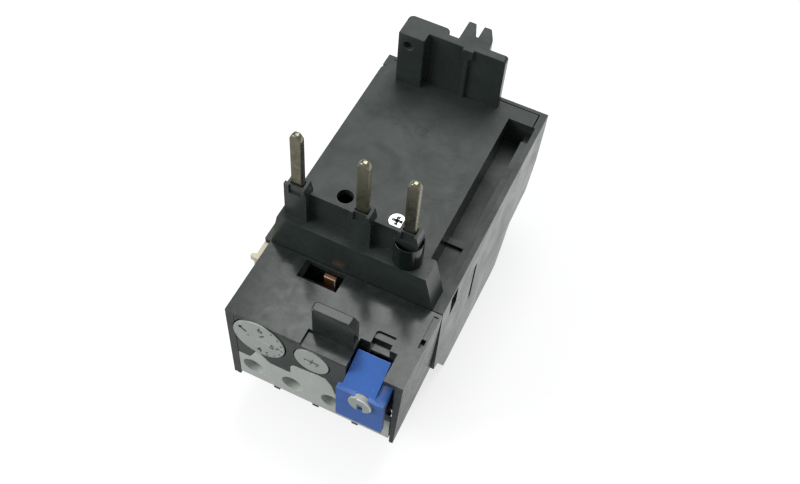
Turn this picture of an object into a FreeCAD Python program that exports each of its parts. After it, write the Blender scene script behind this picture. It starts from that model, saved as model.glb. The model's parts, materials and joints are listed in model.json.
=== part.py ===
import FreeCAD, Part
import operator
import os
import Sketcher
from FreeCAD import Placement, Rotation, Vector

# Thermal overload relay: a moulded housing of two shells that hangs under a contactor by three pins
# and a hook, with a current dial, a test button and a reset button on its front.
# Frame: origin on the flat rest face, midway across the width; +X to the right seen from the front,
# +Y from the front to the back, +Z up towards the pins. Millimetres.

SIZES = {
    "housing": [
        ("width", 45.0, "width of the relay, a standard module"),
        ("deck_level", 38.6, "height of the flat top above the rest face"),
        ("front_reach", 45.0, "from the origin to the front face"),
        ("back_reach", 41.9, "from the origin to the back face"),
        ("wall", 1.9, "wall of the rear housing"),
        ("seam", 0.3, "clearance between seated mouldings"),
        ("tier_front", 16.0, "front of the lower tier at its foot"),
        ("rest_front", 13.1, "front edge of the rest face"),
        ("rest_back", 15.8, "back edge of the rest face"),
        ("tier_back", 18.7, "back of the lower tier at its foot"),
        ("foot_rise", 0.5, "rise of the foot's chamfer"),
        ("shelf_level", 11.6, "underside of the shelf at the front"),
        ("shelf_front", 21.8, "front corner of the shelf"),
        ("heel_level", 12.1, "underside behind the lower tier"),
        ("heel_back", 25.0, "where the slope of the tier ends"),
        ("tail_level", 13.7, "underside at the tail"),
        ("tail_back", 36.1, "back end of the tail's underside"),
        ("chin_back", 40.5, "corner of the back slope"),
        ("chin_level", 21.7, "height of that corner"),
        ("back_foot", 34.3, "where the upright back face starts"),
        ("back_lean", 0.9, "how far the back slope has come in under the trough"),
        ("chamber_top", 11.0, "top of the terminal chambers"),
        ("roof_chamber", 2.2, "roof over the terminal chambers"),
        ("chamber_wall", 1.5, "wall behind the terminal chambers"),
        ("chamber_back", 3.0, "depth position of the chambers' back wall"),
        ("vent_width", 1.6, "width of the slanted vents"),
        ("vent_deep", 0.9, "depth of the vent and of the side recess"),
        ("vent_front", 4.5, "from the origin forward to the vent"),
        ("vent_lean", 0.8, "how far the vent leans back"),
        ("vent_foot", 16.2, "lower end of the vent"),
        ("vent_top", 29.6, "upper end of the vent"),
        ("recess_front", 19.1, "front edge of the recess in the right side"),
        ("recess_back", 15.3, "back edge of that recess"),
        ("recess_foot", 30.2, "foot of that recess"),
        ("recess_slope", 1.0, "rise of its foot to the back"),
        ("recess_top", 37.6, "top of that recess"),
    ],
    "trough": [
        ("trough_left", 13.9, "left edge of the trough"),
        ("trough_right", 19.0, "right edge of the trough"),
        ("trough_ledge", 21.1, "outer edge of the trough's ledge"),
        ("trough_floor", 29.8, "floor of the trough"),
        ("trough_skin", 0.7, "thickness of the trough's floor and left wall"),
        ("ledge_level", 35.7, "level of the ledge"),
        ("trough_front", 17.0, "front end of the trough"),
        ("trough_back", 36.1, "back end of the trough"),
        ("sill_place", 0.9, "place of the cross sill"),
        ("sill_height", 1.0, "height of the cross sill"),
        ("notch_front", 32.9, "front edge of the notch in the ledge"),
        ("notch_level", 34.2, "floor of that notch"),
    ],
    "deck": [
        ("deck_thick", 2.0, "thickness of the deck plate"),
        ("deck_front", 17.9, "front edge of the deck plate"),
        ("deck_step", 38.0, "where the deck's left edge steps in"),
        ("deck_step_in", 1.9, "how far it steps in"),
        ("deck_back", 40.6, "back edge of the deck plate"),
        ("deck_right", 20.3, "right edge of the deck plate behind the trough"),
        ("deck_round", 1.6, "rounding of the deck's back left corner"),
        ("spare_hole", 2.05, "radius of the open hole in the deck"),
        ("spare_x", -11.5, "place of the open hole across"),
        ("spare_y", -5.2, "place of the open hole along"),
        ("screw_x", 2.6, "place of the deck screw across"),
        ("screw_y", -6.2, "place of the deck screw along"),
        ("screw_head", 2.1, "radius of the screw's head"),
        ("screw_head_high", 1.2, "height of the screw's head"),
        ("screw_sink", 0.7, "how deep the head sits in the deck"),
        ("screw_shank", 1.1, "radius of the screw's shank"),
        ("screw_long", 9.0, "length under the head"),
        ("boss_wall", 0.85, "wall of the screw boss"),
    ],
    "front cover": [
        ("cover_depth", 20.4, "depth of the front cover"),
        ("cover_inset", 1.55, "left side of the cover, in from the housing's side"),
        ("cover_roof", 1.6, "thickness of the cover's top"),
        ("cover_leg", 2.0, "thickness of the cover's sides at the top"),
        ("cover_draft", 1.0, "how far the sides lean in at the foot"),
        ("leg_foot", 9.9, "foot of the sides at the front"),
        ("leg_rise", 2.7, "how much higher the foot is at the back"),
        ("leg_round", 0.4, "rounding of the foot"),
        ("window_left", -10.2, "left edge of the window"),
        ("window_right", -1.2, "right edge of the window"),
        ("window_front", 29.2, "front edge of the window"),
        ("window_back", 25.1, "back edge of the window"),
        ("bevel_left", 1.0, "width of the bevel at the window's left"),
        ("bevel_front", 0.9, "width of the bevel at the window's front"),
        ("bevel_deep", 1.0, "depth of both bevels"),
        ("slot_left", 8.9, "left edge of the reset slot"),
        ("slot_right", 17.8, "right edge of the reset slot"),
        ("slot_deep", 7.15, "how far the slot runs back"),
        ("well_left", 11.3, "left edge of the well behind the slot"),
        ("well_right", 15.9, "right edge of the well"),
        ("well_back", 36.0, "back edge of the well"),
        ("shelf_back", 34.3, "back edge of the shallow shelf behind the well"),
        ("shelf_deep", 0.7, "depth of that shelf"),
        ("shelf_round", 0.8, "rounding of its back left corner"),
        ("skirt_foot", 31.5, "foot of the skirt round the well"),
        ("pad_left", -2.3, "left edge of the recess before the lug"),
        ("pad_deep", 1.0, "depth of that recess"),
        ("channel_left", 20.9, "left edge of the channel beside the window"),
        ("channel_right", 22.0, "right edge of the channel"),
        ("channel_front", 31.5, "front end of the channel"),
        ("channel_back", 25.5, "back end of the channel"),
        ("channel_deep", 0.4, "depth of the channel"),
        ("hole_front", 34.4, "front edge of the hole before the channel"),
        ("hole_back", 32.0, "back edge of that hole"),
        ("hole_deep", 1.6, "depth of that hole"),
        ("lug_left", -1.8, "left side of the upright lug"),
        ("lug_right", 8.6, "right side of the upright lug"),
        ("lug_front", 40.9, "front of the upright lug"),
        ("lug_thick", 2.6, "thickness of the upright lug"),
        ("lug_high", 8.5, "height of the upright lug"),
        ("lug_round", 0.4, "rounding of the lug's top"),
        ("lug_end", 0.9, "rounding of its left end"),
        ("lug_ear", 1.3, "bevel of its upper right corner"),
    ],
    "front panel": [
        ("panel_thick", 2.6, "thickness of the fascia"),
        ("panel_right", 8.9, "right edge of the fascia"),
        ("dial_x", -12.65, "centre of the current dial across"),
        ("dial_z", 32.1, "centre of the current dial, height"),
        ("dial_radius", 6.5, "radius of the current dial"),
        ("dial_proud", 0.3, "how far the dial stands out"),
        ("dial_seat", 1.6, "depth of the dial's seat in the fascia"),
        ("dial_shaft", 2.4, "radius of the dial's shaft"),
        ("key_deep", 0.2, "depth of the driver marks in the dial and the test button"),
        ("dial_key", 2.8, "half the length of the mark in the dial"),
        ("test_key", 1.8, "half the length of the mark in the test button"),
        ("shaft_play", 0.08, "radial clearance of a running shaft"),
        ("cam_radius", 3.4, "radius of the setting cam"),
        ("cam_throw", 0.7, "eccentricity of the setting cam"),
        ("cam_thick", 2.2, "thickness of the setting cam"),
        ("test_x", 0.5, "centre of the test button across"),
        ("test_z", 32.45, "centre of the test button, height"),
        ("test_radius", 4.25, "radius of the test button"),
        ("test_proud", 0.15, "how far the test button stands out"),
        ("test_lug", 0.6, "reach of the button's two lugs behind the fascia"),
        ("lug_half", 1.2, "half the height of those lugs"),
        ("collar_thick", 0.8, "thickness of those lugs"),
        ("test_stem", 1.5, "radius of the test button's stem"),
    ],
    "shroud": [
        ("shroud_left", -18.8, "left end of the terminal shroud"),
        ("shroud_right", 20.2, "right end of the terminal shroud"),
        ("shroud_thick", 1.5, "thickness of the shroud"),
        ("shroud_foot", 11.6, "lower edge of the shroud"),
        ("crest_left", 21.1, "upper edge at the left"),
        ("pointer_foot", -15.7, "left foot of the dial's pointer"),
        ("pointer_left", -14.1, "left end of the pointer's top"),
        ("pointer_right", -12.9, "right end of the pointer's top"),
        ("pointer_top", 24.8, "top of the pointer"),
        ("pointer_end", -10.4, "right foot of the pointer"),
        ("crest_middle", 22.2, "upper edge between the pointer and the raised part"),
        ("crest_step", -5.1, "where the upper edge steps up"),
        ("crest_lip", 25.2, "top of that step"),
        ("crest_bend", -4.25, "where the bevel above the step ends"),
        ("crest_rise", 26.4, "upper edge at the end of that bevel"),
        ("crest_high", 27.1, "upper edge of the raised part"),
        ("crest_top", 1.9, "highest place of the upper edge across"),
        ("crest_fall", 3.9, "where the upper edge starts to fall"),
        ("crest_knee", 5.4, "knee of the fall across"),
        ("knee_level", 25.1, "height of that knee"),
        ("crest_heel", 6.2, "lower knee of the fall across"),
        ("heel_height", 22.3, "height of the lower knee"),
        ("crest_foot", 6.9, "where the fall ends"),
        ("crest_right", 20.2, "upper edge under the reset button"),
        ("access_radius", 2.7, "radius of the screw access holes"),
        ("access_wall", 0.8, "wall of the access tubes"),
        ("access_long", 2.2, "length of the access tubes behind the shroud"),
        ("aux_first", -15.06, "place of the first auxiliary terminal"),
        ("aux_pitch", 10.25, "pitch of the auxiliary terminals"),
        ("aux_level", 17.0, "height of the auxiliary screws"),
    ],
    "reset": [
        ("reset_left", 8.2, "left side of the reset button"),
        ("reset_right", 19.6, "right side of the reset button"),
        ("reset_foot", 20.5, "lower edge of the reset button"),
        ("reset_top", 33.1, "upper edge of the reset button"),
        ("reset_proud", 3.4, "how far the reset button stands out"),
        ("reset_flange", 1.5, "thickness of the front flange"),
        ("shoulder_left", 15.4, "left side of the deep right shoulder"),
        ("shoulder_deep", 6.2, "depth of the right shoulder from the front"),
        ("shoulder_thick", 2.5, "thickness of the right shoulder"),
        ("tongue_left", 9.2, "left side of the ramp"),
        ("tongue_right", 17.15, "right side of the ramp"),
        ("tongue_start", 1.1, "start of the ramp behind the front"),
        ("tongue_top", 36.7, "top of the ramp"),
        ("tongue_run", 7.55, "length of the ramp"),
        ("tongue_thick", 2.4, "thickness of the ramp's upper end"),
        ("stem_high", 5.0, "height of the guide stem"),
        ("stem_half", 1.8, "half the width of the guide stem"),
        ("stem_z", 26.6, "middle of the guide stem"),
        ("mode_x", 14.3, "centre of the mode selector across"),
        ("mode_z", 30.5, "centre of the mode selector, height"),
        ("mode_radius", 2.9, "radius of the mode selector"),
        ("mode_deep", 1.0, "depth of its seat"),
        ("mode_proud", 0.5, "how far it stands out"),
        ("mode_notch", 1.3, "width of the notch in its rim"),
        ("key_width", 0.9, "width of its key slot"),
    ],
    "pins": [
        ("pin_left", -15.1, "place of the left pin"),
        ("pin_middle", 0.3, "place of the middle pin"),
        ("pin_right", 11.5, "place of the right pin"),
        ("pin_y", 20.8, "from the origin forward to the pins"),
        ("pin_top", 75.8, "height of the pins' tips"),
        ("pin_width", 2.9, "width of a pin"),
        ("pin_thick", 1.6, "thickness of a pin"),
        ("pin_tip", 1.2, "length of the tapered tip"),
        ("pin_tip_in", 0.8, "how far the tip tapers in"),
        ("strap_level", 32.6, "underside of the strap inside"),
        ("strap_width", 1.4, "width of the strap"),
        ("strap_thick", 1.2, "thickness of the strap"),
    ],
    "pin block": [
        ("block_right", 20.0, "right end of the block at its foot"),
        ("block_slope_left", 1.95, "how far the left end leans in"),
        ("block_slope_right", 2.6, "how far the right end leans in"),
        ("block_high", 10.45, "height of the front ledge"),
        ("block_back", 18.6, "back of the block"),
        ("panel_front", 20.6, "front of the panels between the towers"),
        ("panel_back", 19.7, "back of those panels"),
        ("panel_high", 18.4, "height of those panels"),
        ("tower_half", 2.7, "half the width of a tower"),
        ("tower_front", 22.6, "front of the towers"),
        ("tower_back", 19.2, "back of the towers"),
        ("tower_straight", 18.8, "height of the towers' straight part"),
        ("tower_high", 21.3, "height of the towers"),
        ("tower_taper", 0.5, "how far their sides lean in"),
        ("notch_half", 1.5, "half the width of the notch before a pin"),
        ("notch_skin", 0.5, "wall left between the notch and the pin"),
    ],
    "hook": [
        ("hook_left", -17.4, "left side of the hook's block"),
        ("hook_step", -10.4, "front step of the block"),
        ("hook_block_right", -6.2, "right side of the block"),
        ("hook_front", 34.8, "front of the block"),
        ("hook_high", 16.6, "height of the hook bracket"),
        ("plate_front", 37.7, "front of the bracket's plate"),
        ("plate_back", 40.0, "back of the bracket's plate"),
        ("plate_right", 9.95, "right side of the plate"),
        ("prong_tip", 46.7, "tips of the prongs"),
        ("prong_level", 50.4, "underside of the prongs"),
        ("prong_left", -3.5, "left side of the left prong"),
        ("prong_second", 0.65, "left side of the right prong"),
        ("prong_width", 2.0, "width of a prong's tip"),
        ("prong_root", 42.5, "where the prongs part"),
        ("prong_slope", 1.6, "how far the left prong widens to its root"),
        ("barb_level", 43.4, "corner of the right prong's flare"),
        ("barb_reach", 1.6, "how far the flare stands out at that corner"),
        ("barb_foot", 2.1, "how far it stands out at the plate"),
        ("rib_left", -0.3, "left side of the rib on the plate"),
        ("rib_width", 1.1, "width of the rib"),
        ("rib_deep", 0.8, "depth of the rib"),
        ("rib_head", 2.9, "width of the rib's head"),
        ("rib_head_high", 3.0, "height of the rib's head"),
        ("hook_hole", 1.2, "radius of the small hole in the block"),
        ("hook_hole_x", -14.6, "place of that hole across"),
        ("hook_hole_z", 51.6, "place of that hole, height"),
        ("hook_round", 1.4, "rounding of the block's back corners"),
        ("plate_round", 0.9, "rounding of the plate's upper corner"),
    ],
    "main terminals": [
        ("pole_pitch", 14.1, "pitch of the main terminals"),
        ("pole_half", 6.0, "half the width of a terminal chamber"),
        ("entry_half", 4.3, "half the width of a wire entry"),
        ("entry_front", 10.9, "front edge of the wire entries"),
        ("entry_back", 4.9, "back edge of the wire entries"),
        ("pole_level", 6.9, "height of the main screws"),
        ("pole_head", 3.3, "radius of a main screw's head"),
        ("pole_head_high", 2.2, "height of a main screw's head"),
        ("pole_head_place", 14.5, "front of the main screws' heads"),
        ("pole_shank", 1.95, "radius of a main screw's shank"),
        ("thread_play", 0.1, "radial clearance round a screw"),
        ("clamp_half", 3.7, "half the width of a clamp plate"),
        ("clamp_thick", 1.2, "thickness of a clamp plate"),
        ("bar_half", 4.2, "half the width of a terminal bar"),
        ("bar_thick", 1.5, "thickness of a terminal bar"),
        ("bar_top", 10.6, "top of a terminal bar"),
        ("bar_foot", 2.2, "underside of a terminal bar"),
        ("bar_end", 11.5, "inner end of a terminal bar"),
    ],
    "thermal system": [
        ("strip_y", 8.0, "middle of the bimetal strips along"),
        ("strip_half", 3.0, "half the width of a bimetal strip"),
        ("strip_thick", 0.8, "thickness of a bimetal strip"),
        ("strip_top", 30.4, "top of the bimetal strips"),
        ("coil_turns", 6.0, "turns of a heater winding"),
        ("coil_pitch", 2.4, "pitch of a heater winding"),
        ("coil_foot", 8.0, "lower end of a heater winding"),
        ("ribbon_wide", 1.5, "width of the heater ribbon"),
        ("ribbon_thick", 0.5, "thickness of the heater ribbon"),
        ("ribbon_gap", 0.35, "gap between a strip and its winding"),
    ],
    "trip mechanism": [
        ("slide_level", 28.3, "underside of the trip slide"),
        ("slide_thick", 1.4, "thickness of the trip slide"),
        ("slide_travel", 1.2, "travel of the trip slide"),
        ("slide_back", 15.0, "back edge of the trip slide"),
        ("slide_bar", 3.0, "width of its cross bar"),
        ("finger_wide", 1.6, "width of a finger"),
        ("tongue_half", 2.9, "half the width of the slide's tongue"),
        ("fork_play", 0.4, "clearance between the fork and the trip lever"),
        ("lever_x", -4.6, "middle of the trip lever across"),
        ("lever_half", 1.4, "half the width of the trip lever"),
        ("lever_y", 26.2, "from the origin forward to the trip lever"),
        ("lever_thick", 0.8, "thickness of the trip lever"),
        ("lever_pivot", 25.0, "height of the trip lever's pivot"),
        ("lever_top", 37.3, "top of the trip lever"),
        ("lever_hub", 2.2, "radius of the trip lever's hub"),
        ("pivot_pin", 0.9, "radius of the pivot pins"),
        ("rocker_x", 0.6, "pivot of the contact rocker across"),
        ("rocker_z", 26.5, "pivot of the contact rocker, height"),
        ("rocker_arm", 15.2, "length of a rocker arm"),
        ("rocker_high", 1.8, "height of a rocker arm"),
        ("rocker_hub", 2.0, "radius of the rocker's hub"),
        ("rocker_lift", 1.2, "how far the end of the open arm is lifted"),
        ("rocker_front", 36.1, "front of the rocker"),
        ("rocker_back", 32.0, "back of the rocker"),
        ("contact_shift", 0.3, "how far the contacts lie before the middle of the rocker"),
        ("contact_near", 7.1, "inner contacts, from the rocker's pivot"),
        ("contact_far", 14.0, "outer contacts, from the rocker's pivot"),
        ("contact_gap", 0.3, "gap at the closed contacts"),
        ("bridge_thick", 0.5, "thickness of a contact bridge"),
        ("rivet", 1.1, "radius of a contact rivet"),
        ("rivet_high", 0.4, "height of a contact rivet"),
    ],
    "auxiliary terminals": [
        ("base_level", 20.7, "underside of the auxiliary terminal base"),
        ("base_thick", 1.5, "thickness of the terminal base"),
        ("base_front", 42.1, "front edge of the terminal base"),
        ("base_back", 24.9, "back edge of the terminal base"),
        ("rib_front", 43.2, "front edge of the ribs"),
        ("rib_first", -9.3, "place of the first rib across"),
        ("rib_pitch", 10.35, "pitch of the ribs"),
        ("rib_thick", 1.0, "thickness of the ribs between the terminals"),
        ("rib_foot", 10.4, "lower edge of those ribs"),
        ("toe_front", 44.8, "front of the ribs' toes under the shroud"),
        ("toe_half", 0.8, "half the width of a toe"),
        ("toe_foot", 10.2, "underside of a toe"),
        ("toe_back", 42.2, "back of a toe"),
        ("aux_back", 31.5, "back of the auxiliary chambers"),
        ("aux_plate_y", 32.8, "back face of the terminal plates"),
        ("aux_plate_thick", 0.8, "thickness of the terminal plates"),
        ("aux_half", 3.4, "half the width of a terminal plate"),
        ("aux_plate_foot", 12.2, "lower end of a terminal plate"),
        ("aux_contact", 24.0, "level of the fixed contacts' tabs"),
        ("aux_tab", 2.0, "length of those tabs"),
        ("aux_head", 2.4, "radius of an auxiliary screw's head"),
        ("aux_head_high", 1.8, "height of an auxiliary screw's head"),
        ("aux_head_place", 41.2, "front of the auxiliary screws' heads"),
        ("aux_shank", 1.4, "radius of an auxiliary screw's shank"),
        ("aux_clamp_half", 3.2, "half the width of an auxiliary clamp plate"),
        ("aux_clamp_thick", 1.2, "thickness of an auxiliary clamp plate"),
        ("frame_y", 38.0, "front of the mechanism frame's wall"),
        ("frame_thick", 1.4, "thickness of the mechanism frame's walls"),
        ("shaft_end", 0.9, "how far the shafts reach into its front wall"),
        ("frame_rear", 29.8, "front of the frame's rear wall"),
        ("frame_top", 36.6, "top of the mechanism frame"),
        ("frame_low", 36.3, "top of its rear wall"),
        ("frame_right", 29.8, "top of its front wall beside the reset button"),
    ],
    "springs and clip": [
        ("wire", 0.25, "radius of the spring wire"),
        ("coil_radius", 2.3, "mean radius of the springs"),
        ("spring_turns", 3.0, "turns of a spring"),
        ("clip_front", 32.0, "front end of the side clip"),
        ("clip_back", 24.6, "back end of the side clip"),
        ("clip_foot", 34.2, "lower edge of the side clip"),
        ("clip_top", 37.4, "upper edge of the side clip"),
        ("clip_hook", 1.5, "how far its hook stands out"),
    ],
}

doc = FreeCAD.newDocument("overload_relay")
sheet = doc.addObject("Spreadsheet::Sheet", "Sizes")
NUMBERS = {}
ARITHMETIC = {"+": operator.add, "-": operator.sub, "*": operator.mul, "/": operator.truediv}


class Length:
    """A size: its number, and the formula in the sheet's sizes that gives it."""

    def __init__(self, number, formula):
        self.number = float(number)
        self.formula = formula

    def __float__(self):
        return self.number

    def __neg__(self):
        return combine(0, "-", self)

    def __add__(self, other):
        return combine(self, "+", other)

    def __radd__(self, other):
        return combine(other, "+", self)

    def __sub__(self, other):
        return combine(self, "-", other)

    def __rsub__(self, other):
        return combine(other, "-", self)

    def __mul__(self, other):
        return combine(self, "*", other)

    def __rmul__(self, other):
        return combine(other, "*", self)

    def __truediv__(self, other):
        return combine(self, "/", other)


def length(value):
    """Any number or size as a Length."""
    if isinstance(value, Length):
        return value
    return Length(value, repr(float(value)))


def combine(first, sign, second):
    """Two lengths joined by an arithmetic sign."""
    first = length(first)
    second = length(second)
    number = ARITHMETIC[sign](first.number, second.number)
    return Length(number, "(%s %s %s)" % (first.formula, sign, second.formula))


def fill_sheet():
    """Write every size into the sheet, one row each, with its alias."""
    row = 1
    for group, sizes in SIZES.items():
        sheet.set("A%d" % row, group)
        row += 1
        for alias, number, meaning in sizes:
            sheet.set("A%d" % row, meaning)
            sheet.set("B%d" % row, str(number))
            sheet.setAlias("B%d" % row, alias)
            NUMBERS[alias] = number
            row += 1
    doc.recompute()


def size(alias):
    """A size of the sheet by its alias."""
    return Length(NUMBERS[alias], "Sizes." + alias)


fill_sheet()


# Helpers: primitives, booleans and sketched features whose sizes are bound to the sheet.

def bind(item, prop, value):
    item.setExpression(prop, length(value).formula)


def place(item, x, y, z):
    bind(item, "Placement.Base.x", x)
    bind(item, "Placement.Base.y", y)
    bind(item, "Placement.Base.z", z)


def block(name, low, high):
    """A box between its low and high corners."""
    item = doc.addObject("Part::Box", name)
    for prop, start, end in zip(("Length", "Width", "Height"), low, high):
        bind(item, prop, end - start)
    place(item, *low)
    return item


TURNS = {
    "x": Rotation(Vector(0, 1, 0), 90),
    "y": Rotation(Vector(1, 0, 0), -90),
    "z": Rotation(),
}


def rod(name, axis, radius, start, long):
    """A cylinder along an axis, from the centre of its first end."""
    item = doc.addObject("Part::Cylinder", name)
    item.Placement = Placement(Vector(), TURNS[axis])
    bind(item, "Radius", radius)
    bind(item, "Height", long)
    place(item, *start)
    return item


def fuse(name, items):
    item = doc.addObject("Part::MultiFuse", name)
    item.Shapes = items
    item.Refine = True
    return item


def cut(name, base, tools):
    item = doc.addObject("Part::Cut", name)
    item.Base = base
    if len(tools) > 1:
        item.Tool = fuse(name + "_tools", tools)
    else:
        item.Tool = tools[0]
    item.Refine = True
    return item


def group(name, items):
    """Several separate solids under one name."""
    item = doc.addObject("Part::Compound", name)
    item.Links = items
    return item


def body(name):
    item = doc.addObject("PartDesign::Body", name)
    item.Label = name
    return item


def sketch(owner, plane, offset):
    """A sketch on one of the body's own origin planes, moved along the plane's normal."""
    item = owner.newObject("Sketcher::SketchObject", owner.Name + "_sketch")
    for feature in owner.Origin.OriginFeatures:
        if feature.Role == plane + "_Plane":
            item.AttachmentSupport = [(feature, "")]
    item.MapMode = "FlatFace"
    bind(item, "AttachmentOffset.Base.z", offset)
    return item


def pin_point(item, geometry, point, x, y):
    """Hold a point of a sketch at two sizes from the origin."""
    for kind, value in (("DistanceX", x), ("DistanceY", y)):
        number = item.addConstraint(Sketcher.Constraint(kind, -1, 1, geometry, point, float(value)))
        bind(item, "Constraints[%d]" % number, value)


def draw(item, outline):
    """Draw a closed polygon from its corners, or a circle from (centre x, centre y, radius)."""
    if isinstance(outline, tuple):
        x, y, radius = [length(value) for value in outline]
        index = item.addGeometry(Part.Circle(Vector(float(x), float(y), 0), Vector(0, 0, 1), float(radius)))
        pin_point(item, index, 3, x, y)
        number = item.addConstraint(Sketcher.Constraint("Radius", index, float(radius)))
        bind(item, "Constraints[%d]" % number, radius)
        return
    corners = [(length(x), length(y)) for x, y in outline]
    spots = [Vector(float(x), float(y), 0) for x, y in corners]
    first = len(item.Geometry)
    for index, spot in enumerate(spots):
        item.addGeometry(Part.LineSegment(spot, spots[(index + 1) % len(spots)]))
    for index, (x, y) in enumerate(corners):
        after = first + (index + 1) % len(corners)
        item.addConstraint(Sketcher.Constraint("Coincident", first + index, 2, after, 1))
        pin_point(item, first + index, 1, x, y)


def extrude(owner, kind, plane, outlines, start, end):
    """Pad or pocket outlines between two places on the axis across their plane."""
    low_first = (kind == "Pad") != (plane == "XZ")
    offset = start if low_first else end
    if plane == "XZ":
        offset = -offset
    profile = sketch(owner, plane, offset)
    for outline in outlines:
        draw(profile, outline)
    item = owner.newObject("PartDesign::" + kind, owner.Name + "_" + kind.lower())
    item.Profile = profile
    bind(item, "Length", end - start)
    item.Refine = True
    return item


def add(owner, plane, outlines, start, end):
    return extrude(owner, "Pad", plane, outlines, start, end)


def remove(owner, plane, outlines, start, end):
    return extrude(owner, "Pocket", plane, outlines, start, end)


def finish_edges(owner, kind, amount, wanted):
    """Fillet or chamfer the edges of a body whose middle passes a test."""
    doc.recompute()
    base = owner.Tip
    names = []
    for index, edge in enumerate(base.Shape.Edges):
        middle = edge.valueAt((edge.FirstParameter + edge.LastParameter) / 2)
        along = edge.tangentAt(edge.FirstParameter)
        if wanted(middle, along):
            names.append("Edge%d" % (index + 1))
    if not names:
        raise RuntimeError(owner.Label + " has no edge to finish")
    item = owner.newObject("PartDesign::" + kind, owner.Name + "_" + kind.lower())
    item.Base = (base, names)
    bind(item, "Radius" if kind == "Fillet" else "Size", amount)
    return item


def near(value, target):
    return abs(value - float(target)) < 0.05


def rectangle(left, low, right, high):
    return [(left, low), (right, low), (right, high), (left, high)]


# Places that several sub-parts share.

LEFT = -size("width") / 2
RIGHT = size("width") / 2
FRONT = -size("front_reach")
BACK = size("back_reach")
DECK = size("deck_level")
WALL = size("wall")
SEAM = size("seam")
COVER_LEFT = LEFT + size("cover_inset")
COVER_BACK = FRONT + size("cover_depth")
INSIDE_LEFT = COVER_LEFT + size("cover_leg")
INSIDE_RIGHT = RIGHT - size("cover_leg")
ROOF = DECK - size("cover_roof")
FOOT_BACK = size("leg_foot") + size("leg_rise")
HOUSING_FRONT = COVER_BACK + SEAM
CAVITY_FRONT = HOUSING_FRONT + WALL
DECK_UNDER = DECK - size("deck_thick")
TROUGH_UNDER = size("trough_floor") - size("trough_skin")
TROUGH_WALL = size("trough_left") - size("trough_skin")
PINS = [size("pin_left"), size("pin_middle"), size("pin_right")]
PIN_NAMES = ["left", "middle", "right"]
POLES = [-size("pole_pitch"), length(0), size("pole_pitch")]
AUX = [size("aux_first") + index * size("aux_pitch") for index in range(4)]
BASE_TOP = size("base_level") + size("base_thick")
PIVOT_BORE = size("pivot_pin") + size("shaft_play")
SHAFT_BORE = size("dial_shaft") + size("shaft_play")
LEVER_FRONT = -(size("lever_y") + size("lever_thick") / 2)


def cavity(top, back_top):
    """Side view of the hollow in the rear housing, up to a level."""
    chamber_inner = -size("chamber_back") + size("chamber_wall")
    chamber_roof = size("chamber_top") + size("roof_chamber")
    # How far each inner corner lies in from the outer one, as a share of the wall.
    tier, heel, tail, chin, chin_rise = 0.9, 0.55, 0.5, 0.9, 0.3
    return [
        (CAVITY_FRONT, top),
        (CAVITY_FRONT, chamber_roof),
        (chamber_inner, chamber_roof),
        (chamber_inner, WALL),
        (size("tier_back") - WALL * tier, WALL),
        (size("heel_back") - WALL * heel, size("heel_level") + WALL),
        (size("tail_back") - WALL * tail, size("tail_level") + WALL),
        (size("chin_back") - WALL * chin, size("chin_level") + WALL * chin_rise),
        (back_top, top),
    ]


def deck_outline(gap):
    """Top view of the deck plate, grown by a gap at its right and back edges."""
    strip_right = size("deck_right") + gap
    step = LEFT + size("deck_step_in")
    return [
        (LEFT, -size("deck_front")),
        (size("trough_left"), -size("deck_front")),
        (size("trough_left"), size("trough_back")),
        (strip_right, size("trough_back")),
        (strip_right, size("deck_back") + gap),
        (step, size("deck_back") + gap),
        (step, size("deck_step")),
        (LEFT, size("deck_step")),
    ]


def side_openings():
    """Side views of the narrow vent and of the recess near the deck."""
    foot, top, wide = size("vent_foot"), size("vent_top"), size("vent_width")
    low = -size("vent_front")
    high = low + size("vent_lean")
    vent = [(low, foot), (low + wide, foot), (high + wide, top), (high, top)]
    front, back = -size("recess_front"), -size("recess_back")
    heel, level = size("recess_foot"), size("recess_top")
    recess = [(front, heel), (back, heel + size("recess_slope")), (back, level), (front, level)]
    return [vent, recess]


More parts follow.
